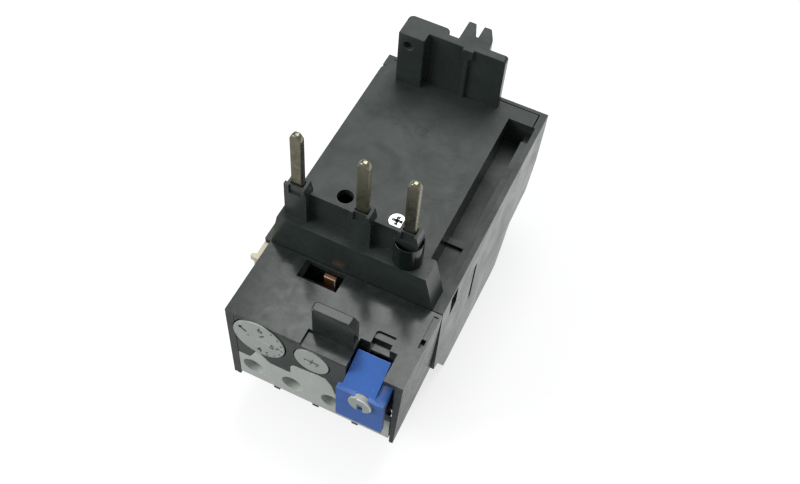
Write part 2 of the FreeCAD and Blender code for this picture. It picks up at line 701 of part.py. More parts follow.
def rear_housing():
    item = body("rear_housing")
    side = [
        (HOUSING_FRONT, DECK),
        (HOUSING_FRONT, FOOT_BACK),
        (-size("shelf_front"), size("shelf_level")),
        (-size("tier_front"), size("foot_rise")),
        (-size("rest_front"), 0),
        (size("rest_back"), 0),
        (size("tier_back"), size("foot_rise")),
        (size("heel_back"), size("heel_level")),
        (size("tail_back"), size("tail_level")),
        (size("chin_back"), size("chin_level")),
        (BACK, size("back_foot")),
        (BACK, DECK),
    ]
    add(item, "YZ", [side], LEFT, RIGHT)
    remove(item, "YZ", [cavity(DECK, BACK - WALL)], LEFT + WALL, TROUGH_WALL)
    lower = cavity(TROUGH_UNDER, BACK - WALL - size("back_lean"))
    remove(item, "YZ", [lower], TROUGH_WALL, RIGHT - WALL)
    add(item, "XY", [(size("screw_x"), size("screw_y"), size("screw_shank") + size("boss_wall"))],
        size("chamber_top") + size("roof_chamber"), DECK_UNDER)
    remove(item, "XY", [(size("screw_x"), size("screw_y"), size("screw_shank") + size("thread_play"))],
           DECK_UNDER - size("screw_long"), DECK_UNDER)
    remove(item, "XY", [deck_outline(SEAM)], DECK_UNDER, DECK)
    trough_y = (-size("trough_front"), size("trough_back"))
    trough = rectangle(size("trough_left"), trough_y[0], size("trough_right"), trough_y[1])
    remove(item, "XY", [trough], size("trough_floor"), DECK)
    ledge = rectangle(size("trough_right"), trough_y[0], size("trough_ledge"), trough_y[1])
    remove(item, "XY", [ledge], size("ledge_level"), DECK)
    notch = rectangle(size("trough_right"), size("notch_front"), size("trough_ledge"), trough_y[1])
    remove(item, "XY", [notch], size("notch_level"), size("ledge_level"))
    sill = rectangle(size("trough_left"), -size("sill_place"), size("trough_right"), size("sill_place"))
    add(item, "XY", [sill], size("trough_floor"), size("trough_floor") + size("sill_height"))
    for pole in POLES:
        half = size("pole_half")
        chamber = rectangle(pole - half, WALL, pole + half, size("chamber_top"))
        remove(item, "XZ", [chamber], HOUSING_FRONT, -size("chamber_back"))
        entry = size("entry_half")
        hole = rectangle(pole - entry, -size("entry_front"), pole + entry, -size("entry_back"))
        remove(item, "XY", [hole], 0, WALL)
        bar = size("bar_half") + SEAM
        slit = rectangle(pole - bar, WALL, pole + bar, size("bar_foot") + size("bar_thick") + SEAM)
        remove(item, "XZ", [slit], -size("chamber_back"), -size("chamber_back") + size("chamber_wall"))
    tongue = size("tongue_half") + SEAM
    gate = rectangle(size("lever_x") - tongue - size("slide_travel"), size("slide_level") - SEAM,
                     size("lever_x") + tongue, size("slide_level") + size("slide_thick") + SEAM)
    remove(item, "XZ", [gate], HOUSING_FRONT, CAVITY_FRONT)
    remove(item, "YZ", side_openings(), RIGHT - size("vent_deep"), RIGHT)
    return item


def deck_plate():
    item = body("deck_plate")
    add(item, "XY", [deck_outline(0)], DECK_UNDER, DECK)
    remove(item, "XY", [(size("spare_x"), size("spare_y"), size("spare_hole"))], DECK_UNDER, DECK)
    head = (size("screw_x"), size("screw_y"), size("screw_head") + size("thread_play"))
    remove(item, "XY", [head], DECK - size("screw_sink"), DECK)
    shank = (size("screw_x"), size("screw_y"), size("screw_shank") + size("thread_play"))
    remove(item, "XY", [shank], DECK_UNDER, DECK)
    finish_edges(item, "Fillet", size("deck_round"),
                 lambda middle, along: abs(along.z) > 0.9 and near(middle.x, LEFT)
                 and near(middle.y, size("deck_step")))
    return item


# A cross recess in a screw's head, as shares of the head: reach and half width of its arms, depth.
CROSS_REACH = 0.62
CROSS_HALF = 0.16
CROSS_DEEP = 0.55
CROSS_ARMS = ((CROSS_REACH, CROSS_HALF), (CROSS_HALF, CROSS_REACH))


def upright_cross(name, x, level, front, radius, head_high):
    """The two arms of the recess in a head that faces the front."""
    back = front + head_high * CROSS_DEEP
    arms = []
    for index, (across, up) in enumerate(CROSS_ARMS):
        low = (x - radius * across, front, level - radius * up)
        high = (x + radius * across, back, level + radius * up)
        arms.append(block("%s_arm_%d" % (name, index), low, high))
    return arms


def deck_screw():
    x, y = size("screw_x"), size("screw_y")
    seat = DECK - size("screw_sink")
    head = rod("deck_screw_head", "z", size("screw_head"), (x, y, seat), size("screw_head_high"))
    shank = rod("deck_screw_shank", "z", size("screw_shank"), (x, y, seat - size("screw_long")),
                size("screw_long"))
    top = seat + size("screw_head_high")
    floor = top - size("screw_head_high") * CROSS_DEEP
    arms = []
    for index, (across, along) in enumerate(CROSS_ARMS):
        dx, dy = size("screw_head") * across, size("screw_head") * along
        arms.append(block("deck_screw_arm_%d" % index, (x - dx, y - dy, floor), (x + dx, y + dy, top)))
    return cut("deck_screw", fuse("deck_screw_blank", [head, shank]), arms)


def cut_window(item):
    """The window over the trip lever, with a bevel at its left and at its front."""
    left, right = size("window_left"), size("window_right")
    front, back = -size("window_front"), -size("window_back")
    remove(item, "XY", [rectangle(left, front, right, back)], ROOF, DECK)
    outer_left, outer_front = left - size("bevel_left"), front - size("bevel_front")
    floor = DECK - size("bevel_deep")
    remove(item, "YZ", [[(outer_front, DECK), (front, floor), (front, DECK)]], outer_left, right)
    remove(item, "XZ", [[(outer_left, DECK), (left, floor), (left, DECK)]], outer_front, back)


def front_cover():
    item = body("front_cover")
    draft = size("cover_draft")
    foot = size("leg_foot")
    face = [(COVER_LEFT, DECK), (RIGHT, DECK), (RIGHT - draft, foot), (COVER_LEFT + draft, foot)]
    add(item, "XZ", [face], FRONT, COVER_BACK)
    hollow = rectangle(INSIDE_LEFT, foot, INSIDE_RIGHT, ROOF)
    remove(item, "XZ", [hollow], FRONT, COVER_BACK)
    wedge = [(FRONT, foot), (COVER_BACK, foot), (COVER_BACK, FOOT_BACK)]
    remove(item, "YZ", [wedge], COVER_LEFT, RIGHT)
    cut_window(item)
    slot_back = FRONT + size("slot_deep")
    slot_right = size("slot_right")
    slot = rectangle(size("slot_left"), FRONT, slot_right, slot_back)
    remove(item, "XY", [slot], ROOF, DECK)
    shelf_back = -size("shelf_back")
    skirt = rectangle(size("panel_right") + SEAM, slot_back, slot_right, shelf_back)
    add(item, "XY", [skirt], size("skirt_foot"), ROOF)
    well_left, well_right = size("well_left"), size("well_right")
    shelf = rectangle(well_left, slot_back, well_right, shelf_back)
    remove(item, "XY", [shelf], DECK - size("shelf_deep"), DECK)
    finish_edges(item, "Fillet", size("shelf_round"),
                 lambda middle, along: abs(along.z) > 0.9 and near(middle.x, well_left)
                 and near(middle.y, shelf_back))
    well = rectangle(well_left, slot_back, well_right, -size("well_back"))
    remove(item, "XY", [well], size("skirt_foot"), DECK)
    pad = rectangle(size("pad_left"), FRONT, size("slot_left"), -size("lug_front"))
    remove(item, "XY", [pad], DECK - size("pad_deep"), DECK)
    channel_left, channel_right = size("channel_left"), size("channel_right")
    channel = rectangle(channel_left, -size("channel_front"), channel_right, -size("channel_back"))
    remove(item, "XY", [channel], DECK - size("channel_deep"), DECK)
    hole = rectangle(channel_left, -size("hole_front"), channel_right, -size("hole_back"))
    remove(item, "XY", [hole], DECK - size("hole_deep"), DECK)
    seat = (size("dial_x"), size("dial_z"), size("dial_radius") + SEAM)
    remove(item, "XZ", [seat], FRONT, FRONT + size("dial_seat"))
    lug_left, lug_right, lug_top = size("lug_left"), size("lug_right"), DECK + size("lug_high")
    lug_front = -size("lug_front")
    lug = rectangle(lug_left, lug_front, lug_right, lug_front + size("lug_thick"))
    add(item, "XY", [lug], DECK, lug_top)
    finish_edges(item, "Fillet", size("lug_end"),
                 lambda middle, along: abs(along.z) > 0.9 and near(middle.x, lug_left)
                 and middle.z > float(DECK))
    finish_edges(item, "Chamfer", size("lug_ear"),
                 lambda middle, along: near(middle.z, lug_top) and near(middle.x, lug_right))
    finish_edges(item, "Fillet", size("lug_round"), lambda middle, along: near(middle.z, lug_top))
    finish_edges(item, "Fillet", size("leg_round"),
                 lambda middle, along: abs(along.y) > 0.9 and middle.z < float(FOOT_BACK))
    return item


def crest(gap):
    """Upper edge of the terminal shroud from left to right, raised by a gap."""
    step = size("crest_step") - gap
    return [
        (size("pointer_foot") - gap, size("crest_left") + gap),
        (size("pointer_left") - gap, size("pointer_top") + gap),
        (size("pointer_right") + gap, size("pointer_top") + gap),
        (size("pointer_end") + gap, size("crest_middle") + gap),
        (step, size("crest_middle") + gap),
        (step, size("crest_lip") + gap),
        (size("crest_bend") - gap, size("crest_rise") + gap),
        (size("crest_top"), size("crest_high") + gap),
        (size("crest_fall") + gap, size("crest_high") + gap),
        (size("crest_knee") + gap, size("knee_level") + gap),
        (size("crest_heel") + gap, size("heel_height") + gap),
        (size("crest_foot") + gap, size("crest_right") + gap),
    ]


def fascia_panel():
    item = body("fascia_panel")
    play = SEAM / 2
    top = ROOF - play
    lower_left = (INSIDE_LEFT + play, size("crest_left") + play)
    lower_right = (size("panel_right"), size("crest_right") + play)
    outline = [(INSIDE_LEFT + play, top), lower_left] + crest(play)
    outline += [lower_right, (size("panel_right"), top)]
    panel_back = FRONT + size("panel_thick")
    add(item, "XZ", [outline], FRONT, panel_back)
    dial = (size("dial_x"), size("dial_z"))
    remove(item, "XZ", [dial + (size("dial_radius") + SEAM,)], FRONT, FRONT + size("dial_seat"))
    remove(item, "XZ", [dial + (SHAFT_BORE,)], FRONT + size("dial_seat"), panel_back)
    remove(item, "XZ", [(size("test_x"), size("test_z"), size("test_radius") + SEAM)], FRONT, panel_back)
    return item


def terminal_shroud():
    item = body("terminal_shroud")
    outline = [(size("shroud_left"), size("shroud_foot")), (size("shroud_left"), size("crest_left"))]
    outline += crest(0)
    outline += [(size("shroud_right"), size("crest_right")), (size("shroud_right"), size("shroud_foot"))]
    shroud_back = FRONT + size("shroud_thick")
    add(item, "XZ", [outline], FRONT, shroud_back)
    level = size("aux_level")
    tube = size("access_radius") + size("access_wall")
    tube_end = shroud_back + size("access_long")
    for x in AUX:
        add(item, "XZ", [(x, level, tube)], shroud_back, tube_end)
    for x in AUX:
        remove(item, "XZ", [(x, level, size("access_radius"))], FRONT, tube_end)
    return item


def dial_parts():
    x, z = size("dial_x"), size("dial_z")
    front = FRONT - size("dial_proud")
    disc_back = FRONT + size("dial_seat") - SEAM
    shaft_end = -size("frame_y") + size("shaft_end")
    disc = rod("dial_disc", "y", size("dial_radius"), (x, front, z), disc_back - front)
    shaft = rod("dial_shaft_rod", "y", size("dial_shaft"), (x, disc_back, z), shaft_end - disc_back)
    reach, half = size("dial_key"), size("key_width") / 2
    slot = block("dial_slot", (x - reach, front, z - half), (x + reach, front + size("key_deep"), z + half))
    dial = cut("current_dial", fuse("dial_blank", [disc, shaft]), [slot])
    cam_back = -size("frame_y") - SEAM
    cam_start = cam_back - size("cam_thick")
    cam_disc = rod("cam_disc", "y", size("cam_radius"), (x, cam_start, z + size("cam_throw")),
                   size("cam_thick"))
    bore = rod("cam_bore", "y", SHAFT_BORE, (x, cam_start, z), size("cam_thick"))
    return dial, cut("setting_cam", cam_disc, [bore])


def test_button():
    x, z = size("test_x"), size("test_z")
    front = FRONT - size("test_proud")
    collar = FRONT + size("panel_thick") + SEAM
    collar_back = collar + size("collar_thick")
    stem_end = -size("frame_y") + size("shaft_end")
    cap = rod("test_cap", "y", size("test_radius"), (x, front, z), collar - front)
    reach = size("test_radius") + SEAM + size("test_lug")
    lugs = block("test_lugs", (x - reach, collar, z - size("lug_half")),
                 (x + reach, collar_back, z + size("lug_half")))
    stem = rod("test_stem_rod", "y", size("test_stem"), (x, collar_back, z), stem_end - collar_back)
    reach, half = size("test_key"), size("key_width") / 2
    mark = block("test_mark", (x - reach, front, z - half), (x + reach, front + size("key_deep"), z + half))
    return cut("test_button", fuse("test_blank", [cap, lugs, stem]), [mark])


def reset_button():
    item = body("reset_button")
    front = FRONT - size("reset_proud")
    flange_back = front + size("reset_flange")
    left, right = size("reset_left"), size("reset_right")
    top = size("reset_top")
    add(item, "XZ", [rectangle(left, size("reset_foot"), right, top)], front, flange_back)
    shoulder = rectangle(size("shoulder_left"), top - size("shoulder_thick"), right, top)
    add(item, "XZ", [shoulder], flange_back, front + size("shoulder_deep"))
    start = front + size("tongue_start")
    crown = start + size("tongue_run")
    end = crown + SEAM
    ramp = [
        (start, top),
        (crown, size("tongue_top")),
        (end, size("tongue_top")),
        (end, size("tongue_top") - size("tongue_thick")),
        (flange_back, top - size("shoulder_thick")),
        (start, top - size("shoulder_thick")),
    ]
    add(item, "YZ", [ramp], size("tongue_left"), size("tongue_right"))
    middle = (left + right) / 2
    stem = rectangle(middle - size("stem_half"), size("stem_z") - size("stem_high") / 2,
                     middle + size("stem_half"), size("stem_z") + size("stem_high") / 2)
    add(item, "XZ", [stem], flange_back, -size("frame_y") + size("shaft_end") / 2)
    seat = (size("mode_x"), size("mode_z"), size("mode_radius") + size("shaft_play"))
    remove(item, "XZ", [seat], front, front + size("mode_deep"))
    return item


def mode_selector():
    x, z = size("mode_x"), size("mode_z")
    front = FRONT - size("reset_proud") - size("mode_proud")
    floor = FRONT - size("reset_proud") + size("mode_deep") - size("shaft_play")
    disc = rod("mode_disc", "y", size("mode_radius"), (x, front, z), floor - front)
    half = size("mode_notch") / 2
    slot = block("mode_slot", (x - half, front, z - size("mode_radius")),
                 (x + half, front + size("key_width"), z))
    return cut("mode_selector", disc, [slot])


def tower_outline(x):
    """Front view of a tower round a pin."""
    half, taper = size("tower_half"), size("tower_taper")
    foot = DECK + size("block_high") / 2
    straight = DECK + size("tower_straight")
    high = DECK + size("tower_high")
    return [
        (x - half, foot),
        (x + half, foot),
        (x + half, straight),
        (x + half - taper, high),
        (x - half + taper, high),
        (x - half, straight),
    ]


def pin_block():
    item = body("pin_block")
    high = DECK + size("block_high")
    right = size("block_right")
    slope_left, slope_right = size("block_slope_left"), size("block_slope_right")
    face = [(COVER_LEFT, DECK), (right, DECK), (right - slope_right, high), (COVER_LEFT + slope_left, high)]
    add(item, "XZ", [face], HOUSING_FRONT, -size("block_back"))
    panels = rectangle(COVER_LEFT + slope_left, high, PINS[2] + size("tower_half"), DECK + size("panel_high"))
    add(item, "XZ", [panels], -size("panel_front"), -size("panel_back"))
    for x in PINS:
        add(item, "XZ", [tower_outline(x)], -size("tower_front"), -size("tower_back"))
    for x in PINS:
        half = size("notch_half")
        notch = rectangle(x - half, DECK + size("tower_straight"), x + half, DECK + size("tower_high"))
        notch_back = -size("pin_y") - size("pin_thick") / 2 - size("notch_skin")
        remove(item, "XZ", [notch], -size("tower_front"), notch_back)
        wide = size("pin_width") / 2 + size("thread_play")
        deep = size("pin_thick") / 2 + size("thread_play")
        hole = rectangle(x - wide, -size("pin_y") - deep, x + wide, -size("pin_y") + deep)
        remove(item, "XY", [hole], DECK, DECK + size("tower_high"))
    return item


def contact_pin(index):
    """A pin with the strap that leads its current back to the heater."""
    item = body("contact_pin_" + PIN_NAMES[index])
    x = PINS[index]
    half = size("pin_width") / 2
    low = size("strap_level")
    tip = size("pin_top") - size("pin_tip")
    tip_in = size("pin_tip_in")
    face = [
        (x - half, low),
        (x + half, low),
        (x + half, tip),
        (x + half - tip_in, size("pin_top")),
        (x - half + tip_in, size("pin_top")),
        (x - half, tip),
    ]
    pin_back = -size("pin_y") + size("pin_thick") / 2
    add(item, "XZ", [face], -size("pin_y") - size("pin_thick") / 2, pin_back)
    strap_right = x - half + size("strap_width")
    thick = size("strap_thick")
    coil_front = size("strip_y") - size("strip_half") - size("ribbon_gap") - size("ribbon_thick")
    end = coil_front - SEAM / 2
    strap = rectangle(x - half, low, strap_right, low + thick)
    add(item, "XZ", [strap], pin_back, end)
    drop = rectangle(x - half, size("slide_level") - size("coil_pitch"), strap_right, low)
    add(item, "XZ", [drop], end - thick, end)
    return item


def terminal_bar(index):
    """A main terminal bar: the upright plate under the clamp and the foot that carries the strip."""
    item = body("terminal_bar_" + PIN_NAMES[index])
    pole = POLES[index]
    half = size("bar_half")
    face_back = -size("chamber_back")
    foot, thick = size("bar_foot"), size("bar_thick")
    plate = rectangle(pole - half, foot, pole + half, size("bar_top"))
    add(item, "XZ", [plate], face_back - thick, face_back)
    sole = rectangle(pole - half, foot, pole + half, foot + thick)
    add(item, "XZ", [sole], face_back, size("bar_end"))
    bore = (pole, size("pole_level"), size("pole_shank") + size("thread_play"))
    remove(item, "XZ", [bore], face_back - thick, face_back)
    return item


def bimetal_strip(index):
    x = PINS[index]
    half = size("strip_thick") / 2
    top = size("bar_foot") + size("bar_thick")
    return block("bimetal_strip_" + PIN_NAMES[index],
                 (x - half, size("strip_y") - size("strip_half"), top),
                 (x + half, size("strip_y") + size("strip_half"), size("strip_top")))


def heater_winding(index):
    """A flat ribbon wound round a bimetal strip in rectangular turns."""
    x, y = float(PINS[index]), float(size("strip_y"))
    thick = float(size("ribbon_thick"))
    gap = float(size("ribbon_gap"))
    wide = float(size("ribbon_wide"))
    across = float(size("strip_thick")) / 2 + gap + thick / 2
    along = float(size("strip_half")) + gap + thick / 2
    foot = float(size("coil_foot"))
    pitch = float(size("coil_pitch"))
    corners = [(-across, -along), (across, -along), (across, along), (-across, along)]
    points = []
    for step in range(4 * int(float(size("coil_turns"))) + 1):
        dx, dy = corners[step % 4]
        points.append(Vector(x + dx, y + dy, foot + wide / 2 + step * pitch / 4))
    runs = []
    for first, last in zip(points, points[1:]):
        level = Vector(last.x - first.x, last.y - first.y, 0).normalize()
        side = Vector(-level.y, level.x, 0) * (thick / 2)
        start = first - level * (thick / 2)
        up = Vector(0, 0, wide / 2)
        ring = [start - side - up, start + side - up, start + side + up, start - side + up]
        face = Part.Face(Part.makePolygon(ring + ring[:1]))
        runs.append(face.extrude(last - first + level * thick))
    item = doc.addObject("Part::Feature", "heater_winding_" + PIN_NAMES[index])
    item.Shape = runs[0].multiFuse(runs[1:])
    item.Placement = Placement()
    return item


def main_screws():
    """Three identical terminal screws."""
    screws = []
    front = -size("pole_head_place")
    head_back = front + size("pole_head_high")
    level = size("pole_level")
    for index, pole in enumerate(POLES):
        name = "main_screw_%d" % index
        head = rod(name + "_head", "y", size("pole_head"), (pole, front, level), size("pole_head_high"))
        shank = rod(name + "_shank", "y", size("pole_shank"), (pole, head_back, level),
                    -size("chamber_back") - head_back)
        arms = upright_cross(name, pole, level, front, size("pole_head"), size("pole_head_high"))
        screws.append(cut(name, fuse(name + "_blank", [head, shank]), arms))
    return group("main_terminal_screws", screws)


def main_clamps():
    """Three identical clamp plates under the screws' heads."""
    clamps = []
    front = -size("pole_head_place") + size("pole_head_high") + size("thread_play")
    back = front + size("clamp_thick")
    level, half = size("pole_level"), size("clamp_half")
    for index, pole in enumerate(POLES):
        name = "main_clamp_%d" % index
        plate = block(name + "_plate", (pole - half, front, level - half), (pole + half, back, level + half))
        bore = rod(name + "_bore", "y", size("pole_shank") + size("thread_play"), (pole, front, level),
                   size("clamp_thick"))
        clamps.append(cut(name, plate, [bore]))
    return group("main_clamp_plates", clamps)


def aux_base():
    """The dark moulding that carries the auxiliary terminals, with a rib between each two."""
    item = body("aux_terminal_base")
    left, right = INSIDE_LEFT + SEAM, INSIDE_RIGHT - SEAM
    level = size("base_level")
    add(item, "XY", [rectangle(left, -size("base_front"), right, -size("base_back"))], level, BASE_TOP)
    back_wall = rectangle(left, FOOT_BACK, right, level)
    add(item, "XZ", [back_wall], -size("aux_back"), -size("aux_back") + size("rib_thick"))
    for index in range(3):
        x = size("rib_first") + index * size("rib_pitch")
        half = size("rib_thick") / 2
        rib = rectangle(x - half, size("rib_foot"), x + half, level)
        add(item, "XZ", [rib], -size("rib_front"), -size("aux_back"))
        toe = size("toe_half")
        sole = rectangle(x - toe, -size("toe_front"), x + toe, -size("toe_back"))
        add(item, "XY", [sole], size("toe_foot"), size("shroud_foot") - SEAM)
    for x in AUX:
        half = size("aux_half") + SEAM / 2
        plate_back = -size("aux_plate_y") + SEAM / 2
        slit = rectangle(x - half, plate_back - size("aux_plate_thick") - SEAM, x + half, plate_back)
        remove(item, "XY", [slit], level, BASE_TOP)
    return item


def aux_plate(name, x):
    """A terminal plate that ends in a fixed contact."""
    item = body(name)
    half, thick = size("aux_half"), size("aux_plate_thick")
    back = -size("aux_plate_y")
    top = size("aux_contact")
    add(item, "XZ", [rectangle(x - half, size("aux_plate_foot"), x + half, top)], back - thick, back)
    tab = rectangle(x - half, top - thick, x + half, top)
    add(item, "XZ", [tab], back - thick - size("aux_tab"), back - thick)
    bore = (x, size("aux_level"), size("aux_shank") + size("thread_play"))
    remove(item, "XZ", [bore], back - thick, back)
    return item


CONTACT_Y = -(size("rocker_front") + size("rocker_back")) / 2 - size("contact_shift")


def contact_places():
    """The four contacts across, from the left."""
    pivot = size("rocker_x")
    near_by, far = size("contact_near"), size("contact_far")
    return [pivot - far, pivot - near_by, pivot + near_by, pivot + far]


def fixed_contacts():
    """The rivets on the terminal plates' tabs."""
    rivets = []
    for index, x in enumerate(contact_places()):
        rivets.append(rod("fixed_rivet_%d" % index, "z", size("rivet"), (x, CONTACT_Y, size("aux_contact")),
                          size("rivet_high")))
    return group("fixed_contacts", rivets)


def contact_rocker():
    """The see-saw: its left arm level over closed contacts, its right arm lifted over open ones."""
    item = body("contact_rocker")
    x, z = size("rocker_x"), size("rocker_z")
    arm, half = size("rocker_arm"), size("rocker_high") / 2
    lift = size("rocker_lift")
    front, back = -size("rocker_front"), -size("rocker_back")
    outline = [
        (x - arm, z - half),
        (x, z - half),
        (x + arm, z - half + lift),
        (x + arm, z + half + lift),
        (x, z + half),
        (x - arm, z + half),
    ]
    add(item, "XZ", [outline], front, back)
    add(item, "XZ", [(x, z, size("rocker_hub"))], front, back)
    remove(item, "XZ", [(x, z, PIVOT_BORE)], front, back)
    return item


def contact_bridge(name, side):
    """A bridge under one arm of the rocker, with a rivet at each end."""
    item = body(name)
    x = size("rocker_x")
    under = size("rocker_z") - size("rocker_high") / 2
    thick = size("bridge_thick")
    slope = size("rocker_lift") / size("rocker_arm") if side > 0 else length(0)
    inner, outer = size("contact_near") - size("rivet"), size("contact_far") + size("rivet")
    deep = size("rivet") + SEAM
    ends = [(x + side * inner, under + slope * inner), (x + side * outer, under + slope * outer)]
    strip = [ends[0], ends[1], (ends[1][0], ends[1][1] - thick), (ends[0][0], ends[0][1] - thick)]
    add(item, "XZ", [strip], CONTACT_Y - deep, CONTACT_Y + deep)
    for reach in (size("contact_near"), size("contact_far")):
        low = size("aux_contact") + size("rivet_high") + size("contact_gap") + slope * reach
        rivet = (x + side * reach, CONTACT_Y, size("rivet"))
        add(item, "XY", [rivet], low, under - thick / 2 + slope * reach)
    return item


def aux_screws():
    """Four identical auxiliary terminal screws."""
    screws = []
    front = -size("aux_head_place")
    head_back = front + size("aux_head_high")
    level = size("aux_level")
    for index, x in enumerate(AUX):
        name = "aux_screw_%d" % index
        head = rod(name + "_head", "y", size("aux_head"), (x, front, level), size("aux_head_high"))
        shank = rod(name + "_shank", "y", size("aux_shank"), (x, head_back, level),
                    -size("aux_plate_y") - head_back)
        arms = upright_cross(name, x, level, front, size("aux_head"), size("aux_head_high"))
        screws.append(cut(name, fuse(name + "_blank", [head, shank]), arms))
    return group("aux_terminal_screws", screws)


def aux_clamps():
    """Four identical clamp plates under the auxiliary screws' heads."""
    clamps = []
    front = -size("aux_head_place") + size("aux_head_high") + size("thread_play")
    back = front + size("aux_clamp_thick")
    level, half = size("aux_level"), size("aux_clamp_half")
    for index, x in enumerate(AUX):
        name = "aux_clamp_%d" % index
        plate = block(name + "_plate", (x - half, front, level - half), (x + half, back, level + half))
        bore = rod(name + "_bore", "y", size("aux_shank") + size("thread_play"), (x, front, level),
                   size("aux_clamp_thick"))
        clamps.append(cut(name, plate, [bore]))
    return group("aux_clamp_plates", clamps)


def mechanism_frame():
    """The box without a lid that stands on the terminal base and carries the shafts and pivots."""
    item = body("mechanism_frame")
    left, right = INSIDE_LEFT + SEAM, INSIDE_RIGHT - SEAM
    thick = size("frame_thick")
    front, rear = -size("frame_y"), -size("frame_rear")
    top, low, beside = size("frame_top"), size("frame_low"), size("frame_right")
    step = size("panel_right")
    wall = [(left, BASE_TOP), (right, BASE_TOP), (right, beside), (step, beside), (step, top), (left, top)]
    add(item, "XZ", [wall], front, front + thick)
    add(item, "XZ", [rectangle(left, BASE_TOP, right, low)], rear, rear + thick)
    for x in (AUX[0], AUX[2]):
        middle = x + size("aux_pitch") / 2
        beam = rectangle(middle - thick / 2, front + thick, middle + thick / 2, rear)
        add(item, "XY", [beam], BASE_TOP, BASE_TOP + thick)
    holes = [
        (size("dial_x"), size("dial_z"), SHAFT_BORE),
        (size("test_x"), size("test_z"), size("test_stem") + size("shaft_play")),
    ]
    middle = (size("reset_left") + size("reset_right")) / 2
    half, high = size("stem_half") + SEAM, size("stem_high") / 2 + SEAM
    holes.append(rectangle(middle - half, size("stem_z") - high, middle + half, size("stem_z") + high))
    remove(item, "XZ", holes, front, front + thick)
    rocker = (size("rocker_x"), size("rocker_z"), size("pivot_pin"))
    remove(item, "XZ", [rocker], front, rear + thick)
    remove(item, "XZ", [(size("lever_x"), size("lever_pivot"), size("pivot_pin"))], rear, rear + thick)
    return item


def pivot_pins():
    """The two pins pressed into the frame, one for the rocker and one for the trip lever."""
    rear_face = -size("frame_rear") + size("frame_thick")
    start = -size("frame_y")
    radius = size("pivot_pin")
    rocker = rod("rocker_pin", "y", radius, (size("rocker_x"), start, size("rocker_z")), rear_face - start)
    lever_end = LEVER_FRONT + size("lever_thick") + SEAM
    lever = rod("lever_pin", "y", radius, (size("lever_x"), -size("frame_rear"), size("lever_pivot")),
                lever_end + size("frame_rear"))
    return rocker, lever


def trip_lever():
    item = body("trip_lever")
    x, z = size("lever_x"), size("lever_pivot")
    half = size("lever_half")
    back = LEVER_FRONT + size("lever_thick")
    top = size("lever_top")
    add(item, "XZ", [rectangle(x - half, z, x + half, top)], LEVER_FRONT, back)
    add(item, "XZ", [(x, z, size("lever_hub"))], LEVER_FRONT, back)
    remove(item, "XZ", [(x, z, PIVOT_BORE)], LEVER_FRONT, back)
    return item


def trip_slide():
    """A flat T: a finger beside each strip, and a fork at the front that turns the trip lever."""
    item = body("trip_slide")
    low, high = size("slide_level"), size("slide_level") + size("slide_thick")
    back = size("slide_back")
    bar_front = back - size("slide_bar")
    push = size("strip_thick") / 2 + SEAM
    finger = size("finger_wide")
    finger_front = size("strip_y") - size("strip_half") + SEAM
    left = PINS[0] - push - finger
    right = PINS[2] + push
    add(item, "XY", [rectangle(left, bar_front, right, back)], low, high)
    for x in PINS:
        add(item, "XY", [rectangle(x - push - finger, finger_front, x - push, bar_front)], low, high)
    lever, half = size("lever_x"), size("tongue_half")
    tongue_front = LEVER_FRONT
    add(item, "XY", [rectangle(lever - half, tongue_front, lever + half, bar_front)], low, high)
    play = size("lever_half") + size("fork_play")
    fork = rectangle(lever - play, tongue_front, lever + play, tongue_front + size("lever_thick") + SEAM)
    remove(item, "XY", [fork], low, high)
    return item


# Straight lengths in one turn of a spring, and corners of its wire's section.
SPRING_STEPS = 16
WIRE_CORNERS = 8


def spring(name, x, z, radius, start, end):
    """A compression spring along Y between two places, its wire laid in short straight lengths."""
    radius, wire = float(radius), float(size("wire"))
    long = float(end - start) - 2 * wire
    steps = SPRING_STEPS * int(float(size("spring_turns")))
    spots = []
    for step in range(steps + 1):
        turn = Rotation(Vector(0, 1, 0), 360 * step / SPRING_STEPS)
        spots.append(turn.multVec(Vector(radius, 0, 0)) + Vector(0, long * step / steps, 0))
    along = (spots[1] - spots[0]).normalize()
    out = Vector(1, 0, 0)
    out = (out - along * out.dot(along)).normalize()
    ring = []
    for corner in range(WIRE_CORNERS):
        ring.append(spots[0] + Rotation(along, 360 * corner / WIRE_CORNERS).multVec(out * wire))
    section = Part.makePolygon(ring + ring[:1])
    item = doc.addObject("Part::Feature", name)
    item.Shape = Part.makePolygon(spots).makePipeShell([section], True, False, 1)
    item.Placement = Placement(Vector(float(x), float(start) + wire, float(z)), Rotation())
    return item


def springs():
    frame_front = -size("frame_y")
    collar = FRONT + size("panel_thick") + SEAM + size("collar_thick")
    test = spring("test_spring", size("test_x"), size("test_z"), size("coil_radius"), collar, frame_front)
    flange = FRONT - size("reset_proud") + size("reset_flange")
    middle = (size("reset_left") + size("reset_right")) / 2
    reset_radius = size("stem_high") / 2 + size("stem_half") / 2 + SEAM
    reset = spring("reset_spring", middle, size("stem_z"), reset_radius, flange, frame_front)
    return test, reset


